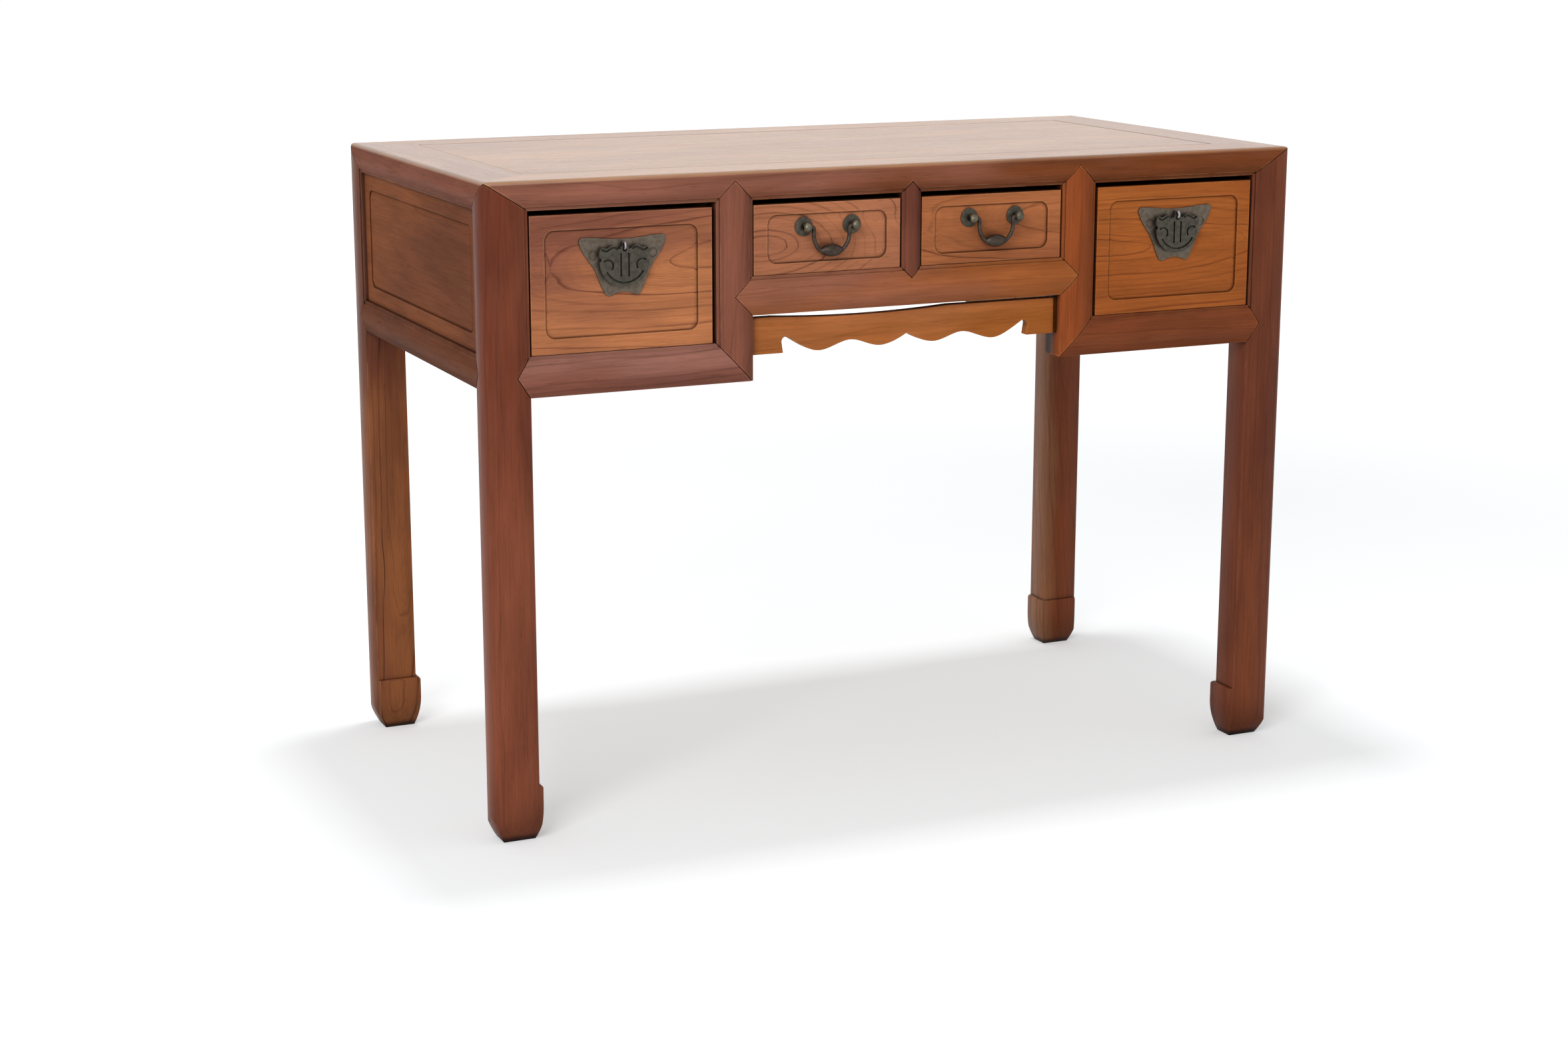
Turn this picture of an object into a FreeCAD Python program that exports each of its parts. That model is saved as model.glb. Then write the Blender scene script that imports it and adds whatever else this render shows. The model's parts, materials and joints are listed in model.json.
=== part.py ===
import FreeCAD, Part
import math
import os

# Kneehole writing desk with two deep outer drawers and two shallow middle drawers.
# X runs to the right, Y to the back and Z up. The origin is on the floor, under the
# middle of the desk with its drawer pulls. All sizes are in millimetres.

V = FreeCAD.Vector

# Case
WIDTH = 1146.0
DEPTH = 584.0
HEIGHT = 830.0
LEG_WIDTH = 58.0
LEG_DEPTH = 46.0
TOP_RAIL_HEIGHT = 36.5
TOP_RAIL_WIDTH = 77.0
MEMBER_DEPTH = 40.0

# Face frame: heights of the openings under the top frame and of the rails under them,
# and the distance of the stiles from the middle
DEEP_OPENING_HEIGHT = 176.5
SHALLOW_OPENING_HEIGHT = 95.5
OUTER_RAIL_HEIGHT = 51.0
END_RAIL_HEIGHT = 42.0
MIDDLE_RAIL_HEIGHT = 49.0
STILE_INNER = 221.0
STILE_WIDTH = 49.0
CENTRE_STILE_WIDTH = 27.0

# Moulding: convex faces with a sunk strip around each opening
CROWN = 3.0
STRIP_WIDTH = 4.5
STRIP_DEPTH = 3.6
TOP_ROUND = 7.0
LEG_ROUND = 8.0

# Pointed laps and tenons
LAP = 14.0
LAP_GAP = 1.1
OUTER_POINT = 17.0
END_POINT = 15.0
TENON_FRONT = 17.0
TENON_BACK = 29.0
TENON_LENGTH = 24.0
TENON_SHOULDER = 9.0
TOP_TENON_HEIGHT = 22.0
LEG_TENON_HEIGHT = 24.5
LEG_TENON_THICKNESS = 12.0
LEG_TENON_WIDTH = 15.0
LEG_TENON_EDGE = 9.0

# Hoof foot
HOOF_HEIGHT = 72.0
HOOF_STEP = 5.5
HOOF_STEP_ROUND = 4.0
HOOF_OUTER_CURVE = 50.0
HOOF_INNER_CURVE = 45.0
HOOF_ARCS = 4
TOE_OUTER_INSET = 13.0
TOE_INNER_INSET = 9.0

# Panels
PANEL_THICKNESS = 12.0
PANEL_SETBACK = 8.0
PANEL_TONGUE = 7.0
END_PANEL_MARGIN = 22.0
TOP_PANEL_THICKNESS = 14.0
TOP_TONGUE_THICKNESS = 8.0
TOP_TONGUE_LENGTH = 9.0
TOP_PANEL_GAP = 1.0
BATTEN_X = 165.0
BATTEN_WIDTH = 34.0
BATTEN_DROP = 20.0
BATTEN_KEY_HEIGHT = 4.0
BATTEN_KEY_NARROW = 22.0
BATTEN_KEY_WIDE = 28.0
BATTEN_TENON = 10.0
BATTEN_TENON_HEIGHT = 12.0

# Apron: each wave point is its distance from the apron's end and its depth under the rail
APRON_SETBACK = 12.0
APRON_THICKNESS = 14.0
APRON_TONGUE = 6.0
APRON_DEPTH = 52.0
APRON_BLOCK = 46.0
APRON_HOOK = (44.0, 39.0)
APRON_NOTCH_MIDDLE = (46.0, 32.75)
APRON_NOTCH = (51.0, 31.5)
APRON_WAVE = [
    (70.0, 43.0), (95.0, 52.0), (120.0, 46.0), (142.0, 41.0),
    (161.0, 46.0), (181.0, 51.0), (203.0, 46.5),
]
APRON_CUSP = 37.5
APRON_GAP = 4.5
APRON_HOLLOW = 4.5
APRON_HOLLOW_START = -190.0
APRON_HOLLOW_END = 60.0
APRON_END_GAP = 5.0
APRON_CHEEK = 4.5

# Inside of the case
PARTITION_THICKNESS = 12.0
PARTITION_HOUSING = 5.0
RUNNER_HEIGHT = 25.0
RUNNER_LEDGE = 20.0
RUNNER_HOUSING = 8.0
GUIDE_HEIGHT = 22.0
SHALLOW_RUNNER_HEIGHT = 20.0
CENTRE_GUIDE_WIDTH = 24.0

# Drawers
DRAWER_SETBACK = 5.0
DRAWER_DEPTH = 510.0
DRAWER_LIFT = 0.4
DEEP_TOP_GAP = 6.5
DEEP_OUTER_GAP = 2.5
DEEP_INNER_GAP = 5.0
SHALLOW_TOP_GAP = 7.0
SHALLOW_SIDE_GAP = 2.0
FRONT_THICKNESS = 18.0
SIDE_THICKNESS = 10.0
SIDE_DROP = 8.0
BACK_THICKNESS = 10.0
BACK_SETBACK = 10.0
BOTTOM_THICKNESS = 7.0
BOTTOM_LIFT = 6.0
BOTTOM_GROOVE = 5.0
TAIL_LENGTH = 10.0
TAIL_NARROW = 15.0
TAIL_WIDE = 22.0
TAIL_SPACING = 33.0

# Incised line
LINE_WIDTH = 6.5
LINE_DEPTH = 2.4
LINE_STEEP = 0.8
LINE_CORNER = 12.0
DEEP_LINE_MARGIN = 19.0
SHALLOW_LINE_MARGIN_X = 19.0
SHALLOW_LINE_MARGIN_Z = 13.5

# Bat-shaped pull: plate, hanging pendant and staple
PULL_TOP_DROP = 31.0
PLATE_THICKNESS = 1.6
STAPLE_DROP = 9.0
STAPLE_RING = 4.4
STAPLE_WIRE = 1.5
STAPLE_HOLE_CLEARANCE = 0.15
CLENCH_REACH = 11.0
CURL_X = 39.0
CURL_Z = -20.0
CURL_RADIUS = 6.4
CURL_DEPTH = 0.8
PENDANT_THICKNESS = 3.2
PENDANT_EYE = 2.9
GROOVE_WIDTH = 2.6
GROOVE_DEPTH = 1.6
SCROLL_X = 22.5
SCROLL_Z = -19.5
SCROLL_RADIUS = 8.4
SCROLL_START = 45.0
SCROLL_TURN = 175.0
BROW_DIP_X = 24.5
BROW_DIP_Z = 4.5
BROW_HUMP_X = 14.6
BROW_HUMP_Z = -3.6
BROW_RADIUS = 7.3
BROW_TURN = 110.0
RIM_Z = -13.5
RIM_RADIUS = 28.6
RIM_TURN = 120.0
RIB_WIDTH = 7.6
RIB_TOP = -4.8
RIB_BOTTOM = -33.5

# Bail pull: rosettes, ball-headed posts and bail
BAIL_DROP = 29.5
POST_SPACING = 67.0
ROSETTE_RADIUS = 12.0
ROSETTE_EDGE = 1.2
ROSETTE_DOME = 3.4
POST_RADIUS = 3.2
POST_REACH = 12.0
BALL_RADIUS = 6.4
POST_HOLE_CLEARANCE = 0.15
NUT_RADIUS = 6.0
NUT_THICKNESS = 4.0
BAIL_WIRE = 2.6
BAIL_HOLE_CLEARANCE = 0.45
BAIL_PIN = 4.5
BAIL_SHOULDER = 3.2
BAIL_HALF_WIDTH = 24.6
BAIL_STRAIGHT = 7.2
GRIP_RADIUS = 8.0
GRIP_HALF_LENGTH = 17.5
GRIP_PROUD = 0.4

# Derived places
RAIL_LINE = HEIGHT - TOP_RAIL_HEIGHT
DRAWER_FLOOR = RAIL_LINE - DEEP_OPENING_HEIGHT
OUTER_RAIL_BOTTOM = DRAWER_FLOOR - OUTER_RAIL_HEIGHT
END_RAIL_BOTTOM = DRAWER_FLOOR - END_RAIL_HEIGHT
MIDDLE_RAIL_TOP = RAIL_LINE - SHALLOW_OPENING_HEIGHT
MIDDLE_RAIL_BOTTOM = MIDDLE_RAIL_TOP - MIDDLE_RAIL_HEIGHT
LEG_TENON_TOP = RAIL_LINE + LEG_TENON_HEIGHT
LEG_INNER = WIDTH / 2 - LEG_WIDTH
STILE_OUTER = STILE_INNER + STILE_WIDTH
PARTITION_INNER = STILE_OUTER - PARTITION_THICKNESS
END_HALF = DEPTH / 2 - LEG_DEPTH
DRAWER_FACE = -DEPTH / 2 + DRAWER_SETBACK
PIVOT_Y = DRAWER_FACE - POST_REACH
ORIGIN_SHIFT = (max(BALL_RADIUS, GRIP_RADIUS) - DEPTH / 2 - PIVOT_Y) / 2

# How far cutting shapes run past the faces that they cut
OVERRUN = 1.0
OUTSIDE = 10.0


# Basic shapes

def box(x0, x1, y0, y1, z0, z1):
    return Part.makeBox(x1 - x0, y1 - y0, z1 - z0, V(x0, y0, z0))


def prism(corners, direction):
    return Part.Face(Part.makePolygon(corners + corners[:1])).extrude(direction)


def upright_prism(corners, y0, y1):
    """Extrude an outline of (x, z) points from y0 to y1."""
    return prism([V(x, y0, z) for x, z in corners], V(0, y1 - y0, 0))


def joined(first, *others):
    return first.multiFuse(list(others)).removeSplitter()


def mirrored(shape):
    return shape.mirror(V(0, 0, 0), V(1, 0, 0))


def mirrored_to_back(shape):
    return shape.mirror(V(0, 0, 0), V(0, 1, 0))


def both_sides(shapes):
    return shapes + [mirrored(shape) for shape in shapes]


def moved(shape, x=0.0, y=0.0, z=0.0):
    copy = shape.copy()
    copy.translate(V(x, y, z))
    return copy


def turned(shape, degrees):
    copy = shape.copy()
    copy.rotate(V(0, 0, 0), V(0, 0, 1), degrees)
    return copy


def save(node, *shapes):
    """Write a node's solids, moved so that the origin is under the middle of the desk."""
    solids = [solid for shape in shapes for solid in shape.Solids]
    compound = Part.makeCompound([moved(solid, y=ORIGIN_SHIFT) for solid in solids])
    compound.exportStep("parts/" + node + ".step")


# Placing shapes that are drawn on a face: X along the face, Y into the desk, Z up

def on_front(shape):
    return moved(shape, y=-DEPTH / 2)


def on_back(shape):
    return turned(on_front(shape), 180)


def on_left(shape):
    return turned(moved(shape, y=-WIDTH / 2), -90)


# Moulded members, drawn on a face

def convex_section(low, high, depth, corner):
    """Section with a convex face; corner turns a place across the face and a depth into a point."""
    face = Part.Arc(corner(low, CROWN), corner((low + high) / 2, 0.0), corner(high, CROWN)).toShape()
    corners = [(high, CROWN), (high, depth), (low, depth), (low, CROWN)]
    rest = Part.makePolygon([corner(*place) for place in corners])
    return Part.Face(Part.Wire([face] + rest.Edges))


def moulded_upright(x0, x1, z0, z1):
    section = convex_section(x0, x1, MEMBER_DEPTH, lambda across, depth: V(across, depth, z0))
    return section.extrude(V(0, 0, z1 - z0))


def moulded_rail(x0, x1, z0, z1):
    section = convex_section(z0, z1, MEMBER_DEPTH, lambda across, depth: V(x0, depth, across))
    return section.extrude(V(x1 - x0, 0, 0))


def point(corners):
    """Space of a pointed lap on the front of a member."""
    return upright_prism(corners, -OUTSIDE, LAP)


def with_room(lap, x=0.0, z=0.0):
    """Cuts for a pointed lap and its tenon, with an open joint around the point."""
    return [lap[0], moved(lap[0], x=x, z=z), lap[1]]


def span(x0, x1, z0, z1):
    return box(x0, x1, -OUTSIDE, MEMBER_DEPTH, z0, z1)


def tenon(x0, x1, z0, z1):
    return box(x0, x1, TENON_FRONT, TENON_BACK, z0, z1)


def strips(openings):
    """Sunk strips around openings, each given as x0, x1, z0, z1."""
    return [
        box(x0 - STRIP_WIDTH, x1 + STRIP_WIDTH, -OUTSIDE, STRIP_DEPTH, z0 - STRIP_WIDTH, z1 + STRIP_WIDTH)
        for x0, x1, z0, z1 in openings
    ]


# Joints of the face frames, drawn on a face

STILE_POINT = STILE_WIDTH / 2
STILE_MIDDLE = STILE_INNER + STILE_POINT
CENTRE_POINT = CENTRE_STILE_WIDTH / 2
RAIL_POINT = MIDDLE_RAIL_HEIGHT / 2
RAIL_MIDDLE = MIDDLE_RAIL_BOTTOM + RAIL_POINT
OUTER_MIDDLE = (OUTER_RAIL_BOTTOM + DRAWER_FLOOR) / 2
END_MIDDLE = (END_RAIL_BOTTOM + DRAWER_FLOOR) / 2

stile_head = [
    point([(-STILE_OUTER, RAIL_LINE), (-STILE_INNER, RAIL_LINE), (-STILE_MIDDLE, RAIL_LINE + STILE_POINT)]),
    tenon(
        -STILE_OUTER + TENON_SHOULDER, -STILE_INNER - TENON_SHOULDER,
        RAIL_LINE, RAIL_LINE + TOP_TENON_HEIGHT,
    ),
]
centre_head = [
    point([(-CENTRE_POINT, RAIL_LINE), (CENTRE_POINT, RAIL_LINE), (0, RAIL_LINE + CENTRE_POINT)]),
    tenon(-CENTRE_POINT, CENTRE_POINT, RAIL_LINE, RAIL_LINE + TOP_TENON_HEIGHT),
]
centre_foot = [
    point([
        (-CENTRE_POINT, MIDDLE_RAIL_TOP), (CENTRE_POINT, MIDDLE_RAIL_TOP),
        (0, MIDDLE_RAIL_TOP - CENTRE_POINT),
    ]),
    tenon(-CENTRE_POINT, CENTRE_POINT, MIDDLE_RAIL_TOP - TENON_LENGTH, MIDDLE_RAIL_TOP),
]
middle_rail_end = [
    point([
        (-STILE_INNER, MIDDLE_RAIL_BOTTOM), (-STILE_INNER, MIDDLE_RAIL_TOP),
        (-STILE_INNER - RAIL_POINT, RAIL_MIDDLE),
    ]),
    tenon(
        -STILE_INNER - TENON_LENGTH, -STILE_INNER,
        MIDDLE_RAIL_BOTTOM + TENON_SHOULDER, MIDDLE_RAIL_TOP - TENON_SHOULDER,
    ),
]
outer_rail_end = [
    point([
        (-LEG_INNER, OUTER_RAIL_BOTTOM), (-LEG_INNER, DRAWER_FLOOR),
        (-LEG_INNER - OUTER_POINT, OUTER_MIDDLE),
    ]),
    tenon(
        -LEG_INNER - TENON_LENGTH, -LEG_INNER,
        OUTER_RAIL_BOTTOM + TENON_SHOULDER, DRAWER_FLOOR - TENON_SHOULDER,
    ),
]
outer_rail_mitre_tenon = tenon(
    -STILE_OUTER, -STILE_MIDDLE + TENON_SHOULDER,
    OUTER_MIDDLE - TENON_SHOULDER, OUTER_MIDDLE + TENON_SHOULDER,
)
stile_side_of_mitre = upright_prism(
    [
        (-STILE_OUTER, DRAWER_FLOOR), (-STILE_INNER, OUTER_RAIL_BOTTOM),
        (0, OUTER_RAIL_BOTTOM), (0, HEIGHT), (-STILE_OUTER, HEIGHT),
    ],
    -OUTSIDE, MEMBER_DEPTH,
)
end_rail_end = [
    point([(-END_HALF, END_RAIL_BOTTOM), (-END_HALF, DRAWER_FLOOR), (-END_HALF - END_POINT, END_MIDDLE)]),
    tenon(
        -END_HALF - TENON_LENGTH, -END_HALF,
        END_RAIL_BOTTOM + TENON_SHOULDER, DRAWER_FLOOR - TENON_SHOULDER,
    ),
]

DEEP_OPENING = (-LEG_INNER, -STILE_OUTER, DRAWER_FLOOR, RAIL_LINE)
SHALLOW_OPENING = (-STILE_INNER, -CENTRE_POINT, MIDDLE_RAIL_TOP, RAIL_LINE)
BACK_OPENING = (-STILE_INNER, STILE_INNER, MIDDLE_RAIL_TOP, RAIL_LINE)
END_OPENING = (-END_HALF, END_HALF, DRAWER_FLOOR, RAIL_LINE)
front_strips = both_sides(strips([DEEP_OPENING, SHALLOW_OPENING]))
back_strips = both_sides(strips([DEEP_OPENING])) + strips([BACK_OPENING])
end_strips = strips([END_OPENING])


# Flat boards in grooves, drawn on a face

def panel_board(opening):
    x0, x1, z0, z1 = opening
    return box(
        x0 - PANEL_TONGUE, x1 + PANEL_TONGUE, PANEL_SETBACK, PANEL_SETBACK + PANEL_THICKNESS,
        z0 - PANEL_TONGUE, z1 + PANEL_TONGUE,
    )


end_board = panel_board(END_OPENING)
back_boards = both_sides([panel_board(DEEP_OPENING)]) + [panel_board(BACK_OPENING)]


# Partitions and runners, in place in the desk

INNER_FRONT = -DEPTH / 2 + MEMBER_DEPTH

partition = box(
    -STILE_OUTER, -PARTITION_INNER, INNER_FRONT - PARTITION_HOUSING, -INNER_FRONT + PARTITION_HOUSING,
    DRAWER_FLOOR, RAIL_LINE,
)
outer_runner = joined(
    box(
        -WIDTH / 2 + MEMBER_DEPTH, -LEG_INNER, -END_HALF, END_HALF,
        DRAWER_FLOOR - RUNNER_HEIGHT, DRAWER_FLOOR + GUIDE_HEIGHT,
    ),
    box(
        -LEG_INNER, -LEG_INNER + RUNNER_LEDGE, INNER_FRONT, -INNER_FRONT,
        DRAWER_FLOOR - RUNNER_HEIGHT, DRAWER_FLOOR,
    ),
)
inner_runner = box(
    -STILE_OUTER - RUNNER_LEDGE, -PARTITION_INNER,
    INNER_FRONT - RUNNER_HOUSING, -INNER_FRONT + RUNNER_HOUSING,
    DRAWER_FLOOR - RUNNER_HEIGHT, DRAWER_FLOOR,
)
shallow_runner = joined(
    box(
        -PARTITION_INNER, -STILE_INNER + RUNNER_LEDGE, INNER_FRONT, -INNER_FRONT,
        MIDDLE_RAIL_TOP - SHALLOW_RUNNER_HEIGHT, MIDDLE_RAIL_TOP,
    ),
    box(
        -PARTITION_INNER, -STILE_INNER, INNER_FRONT, -INNER_FRONT,
        MIDDLE_RAIL_TOP, MIDDLE_RAIL_TOP + GUIDE_HEIGHT,
    ),
)
centre_runner_tenons = box(
    -CENTRE_GUIDE_WIDTH / 2, CENTRE_GUIDE_WIDTH / 2,
    INNER_FRONT - RUNNER_HOUSING, -INNER_FRONT + RUNNER_HOUSING,
    MIDDLE_RAIL_TOP - SHALLOW_RUNNER_HEIGHT, MIDDLE_RAIL_TOP - RUNNER_HOUSING,
)
centre_runner = joined(
    box(
        -CENTRE_POINT - RUNNER_LEDGE, CENTRE_POINT + RUNNER_LEDGE, INNER_FRONT, -INNER_FRONT,
        MIDDLE_RAIL_TOP - SHALLOW_RUNNER_HEIGHT, MIDDLE_RAIL_TOP,
    ),
    box(
        -CENTRE_GUIDE_WIDTH / 2, CENTRE_GUIDE_WIDTH / 2, INNER_FRONT, -INNER_FRONT,
        MIDDLE_RAIL_TOP, MIDDLE_RAIL_TOP + GUIDE_HEIGHT,
    ),
    centre_runner_tenons,
)


# Face frame members, drawn on a face

apron_zone = box(
    -STILE_INNER - APRON_TONGUE, STILE_INNER + APRON_TONGUE,
    APRON_SETBACK, APRON_SETBACK + APRON_THICKNESS,
    MIDDLE_RAIL_BOTTOM - APRON_DEPTH, MIDDLE_RAIL_BOTTOM - APRON_GAP,
)


def frame_stile(other_cuts):
    blank = moulded_upright(-STILE_OUTER, -STILE_INNER, OUTER_RAIL_BOTTOM, RAIL_LINE + STILE_POINT)
    outline = joined(span(-STILE_OUTER, -STILE_INNER, OUTER_RAIL_BOTTOM, RAIL_LINE), stile_head[0])
    stile = joined(blank.common(outline).common(stile_side_of_mitre), stile_head[1])
    inside = [moved(shape, y=DEPTH / 2) for shape in (partition, inner_runner)]
    middle_rail_cuts = with_room(middle_rail_end, x=-LAP_GAP)
    return stile.cut(middle_rail_cuts + [outer_rail_mitre_tenon] + inside + other_cuts)


def frame_outer_rail(other_cuts):
    blank = moulded_rail(-LEG_INNER - OUTER_POINT, -STILE_INNER, OUTER_RAIL_BOTTOM, DRAWER_FLOOR)
    outline = joined(span(-LEG_INNER, -STILE_INNER, OUTER_RAIL_BOTTOM, DRAWER_FLOOR), outer_rail_end[0])
    rail = blank.common(outline).cut(moved(stile_side_of_mitre, x=-LAP_GAP))
    rail = joined(rail, outer_rail_end[1], outer_rail_mitre_tenon)
    return rail.cut([moved(inner_runner, y=DEPTH / 2)] + other_cuts)


def frame_middle_rail(other_cuts):
    end = STILE_INNER + RAIL_POINT
    blank = moulded_rail(-end, end, MIDDLE_RAIL_BOTTOM, MIDDLE_RAIL_TOP)
    points = both_sides([middle_rail_end[0]])
    outline = joined(span(-STILE_INNER, STILE_INNER, MIDDLE_RAIL_BOTTOM, MIDDLE_RAIL_TOP), *points)
    rail = joined(blank.common(outline), *both_sides([middle_rail_end[1]]))
    return rail.cut([moved(centre_runner_tenons, y=DEPTH / 2)] + other_cuts)


def frame_centre_stile():
    blank = moulded_upright(
        -CENTRE_POINT, CENTRE_POINT, MIDDLE_RAIL_TOP - CENTRE_POINT, RAIL_LINE + CENTRE_POINT,
    )
    outline = joined(
        span(-CENTRE_POINT, CENTRE_POINT, MIDDLE_RAIL_TOP, RAIL_LINE), centre_head[0], centre_foot[0],
    )
    return joined(blank.common(outline), centre_head[1], centre_foot[1]).cut(front_strips)


def frame_end_rail():
    end = END_HALF + END_POINT
    blank = moulded_rail(-end, end, END_RAIL_BOTTOM, DRAWER_FLOOR)
    points = both_sides([end_rail_end[0]])
    outline = joined(span(-END_HALF, END_HALF, END_RAIL_BOTTOM, DRAWER_FLOOR), *points)
    rail = joined(blank.common(outline), *both_sides([end_rail_end[1]]))
    return rail.cut([end_board] + end_strips)


# Incised line with round corners, drawn on a face at y = 0

def rounded_rectangle(x0, x1, z0, z1, radius, y):
    half = radius * (1 - math.sqrt(0.5))
    edges = []
    for start, middle, end, next_start in [
        ((x0, z0 + radius), (x0 + half, z0 + half), (x0 + radius, z0), (x1 - radius, z0)),
        ((x1 - radius, z0), (x1 - half, z0 + half), (x1, z0 + radius), (x1, z1 - radius)),
        ((x1, z1 - radius), (x1 - half, z1 - half), (x1 - radius, z1), (x0 + radius, z1)),
        ((x0 + radius, z1), (x0 + half, z1 - half), (x0, z1 - radius), (x0, z0 + radius)),
    ]:
        places = [V(x, y, z) for x, z in (start, middle, end, next_start)]
        edges.append(Part.Arc(*places[:3]).toShape())
        edges.append(Part.makeLine(places[2], places[3]))
    return Part.Wire(edges)


def incised_line(x0, x1, z0, z1):
    """Cutter with a steep outer wall and a gentle slope up to the field inside."""
    steep = LINE_STEEP
    wide = LINE_WIDTH + OVERRUN * (LINE_WIDTH - LINE_STEEP) / LINE_DEPTH
    mouth = rounded_rectangle(x0, x1, z0, z1, LINE_CORNER, -OVERRUN)
    outer = Part.Face(mouth).extrude(V(0, OVERRUN + LINE_DEPTH, 0))
    deep_edge = rounded_rectangle(
        x0 + steep, x1 - steep, z0 + steep, z1 - steep, LINE_CORNER - steep, LINE_DEPTH,
    )
    top_edge = rounded_rectangle(
        x0 + wide, x1 - wide, z0 + wide, z1 - wide, LINE_CORNER - wide, -OVERRUN,
    )
    return outer.cut(Part.makeLoft([deep_edge, top_edge], True, True))


# Top frame: one block with convex sides and round edges, shared out between rails and legs

def top_block():
    """Block of the top frame, bounded by the moulded faces all round."""
    faces = []
    for half_length, half_width, degrees in ((WIDTH / 2, DEPTH / 2, 0), (DEPTH / 2, WIDTH / 2, 90)):
        low, high, middle = RAIL_LINE, HEIGHT, (RAIL_LINE + HEIGHT) / 2
        front = Part.Arc(
            V(-half_length, CROWN - half_width, low), V(-half_length, -half_width, middle),
            V(-half_length, CROWN - half_width, high),
        ).toShape()
        back = Part.Arc(
            V(-half_length, half_width - CROWN, high), V(-half_length, half_width, middle),
            V(-half_length, half_width - CROWN, low),
        ).toShape()
        top = Part.makeLine(front.Vertexes[1].Point, back.Vertexes[0].Point)
        bottom = Part.makeLine(back.Vertexes[1].Point, front.Vertexes[0].Point)
        block = Part.Face(Part.Wire([front, top, back, bottom])).extrude(V(2 * half_length, 0, 0))
        long_top_edges = [
            edge for edge in block.Edges
            if edge.BoundBox.XLength > half_length and edge.BoundBox.ZMin > middle
        ]
        faces.append(turned(block.makeFillet(TOP_ROUND, long_top_edges), degrees))
    return faces[0].common(faces[1])


def rail_sector(half_length, half_width):
    """Plan of a mitred rail at the front of a top that is twice half_length long."""
    inner = TOP_RAIL_WIDTH
    plan = [
        (-half_length, -half_width), (half_length, -half_width),
        (half_length - inner, inner - half_width), (inner - half_length, inner - half_width),
    ]
    return prism([V(x, y, RAIL_LINE) for x, y in plan], V(0, 0, TOP_RAIL_HEIGHT))


# Legs, drawn at the front left corner

CORNER = V(-WIDTH / 2, -DEPTH / 2, 0)


def crown_radius(width):
    """Radius of a convex face of this width."""
    return (width ** 2 / 4 + CROWN ** 2) / (2 * CROWN)


def leg_shaft(extra, z0, z1):
    """Upright with convex outer faces and a round outer edge, grown by extra on its inner sides."""
    front_radius, side_radius = crown_radius(LEG_WIDTH), crown_radius(LEG_DEPTH)
    blank = box(-OUTSIDE, LEG_WIDTH + extra, -OUTSIDE, LEG_DEPTH + extra, z0, z1)
    front = Part.makeCylinder(front_radius, z1 - z0, V(LEG_WIDTH / 2, front_radius, z0))
    side = Part.makeCylinder(side_radius, z1 - z0, V(side_radius, LEG_DEPTH / 2, z0))
    shaft = blank.common(front).common(side)
    outer_edges = [
        edge for edge in shaft.Edges
        if edge.BoundBox.ZLength > LEG_ROUND
        and edge.BoundBox.XMax < LEG_ROUND and edge.BoundBox.YMax < LEG_ROUND
    ]
    return shaft.makeFillet(LEG_ROUND, outer_edges)


def curve_from_upright(start, end):
    """Points (s, z) on an arc that leaves start straight down and reaches end, three for each short arc."""
    across, down = end[0] - start[0], start[1] - end[1]
    radius = (across ** 2 + down ** 2) / (2 * across)
    whole_turn = math.asin(down / abs(radius))
    turns = [whole_turn * step / (2 * HOOF_ARCS) for step in range(2 * HOOF_ARCS + 1)]
    return [(start[0] + radius * (1 - math.cos(t)), start[1] - abs(radius) * math.sin(t)) for t in turns]


def chain_of_arcs(points):
    """Arcs that each pass three of the points and start where the one before ends."""
    return [Part.Arc(*points[first:first + 3]).toShape() for first in range(0, len(points) - 2, 2)]


def hoof_outline(width, place):
    """Side view of a hoof foot; place turns (s, z) into a point."""
    wide = width + HOOF_STEP
    shoulder = HOOF_HEIGHT - HOOF_STEP_ROUND
    bend = HOOF_STEP_ROUND * (1 - math.sqrt(0.5))
    outer = curve_from_upright((-OVERRUN, HOOF_OUTER_CURVE), (TOE_OUTER_INSET, 0))
    inner = curve_from_upright((wide, HOOF_INNER_CURVE), (wide - TOE_INNER_INSET, 0))
    step = [(wide, shoulder), (wide - bend, HOOF_HEIGHT - bend), (wide - HOOF_STEP_ROUND, HOOF_HEIGHT)]
    outer, inner, step = ([place(*point) for point in curve] for curve in (outer, inner, step))
    corner = place(-OVERRUN, HOOF_HEIGHT)
    edges = [Part.makeLine(corner, outer[0])]
    edges += chain_of_arcs(outer)
    edges.append(Part.makeLine(outer[-1], inner[-1]))
    edges += chain_of_arcs(inner[::-1])
    edges.append(Part.makeLine(inner[0], step[0]))
    edges += chain_of_arcs(step)
    edges.append(Part.makeLine(step[-1], corner))
    return Part.Face(Part.Wire(edges))


def hoof():
    length = LEG_WIDTH + 2 * OUTSIDE
    across = hoof_outline(LEG_WIDTH, lambda s, z: V(s, -OUTSIDE, z)).extrude(V(0, length, 0))
    along = hoof_outline(LEG_DEPTH, lambda s, z: V(-OUTSIDE, s, z)).extrude(V(length, 0, 0))
    return across.common(along).common(leg_shaft(OUTSIDE, 0, HOOF_HEIGHT))


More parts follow.
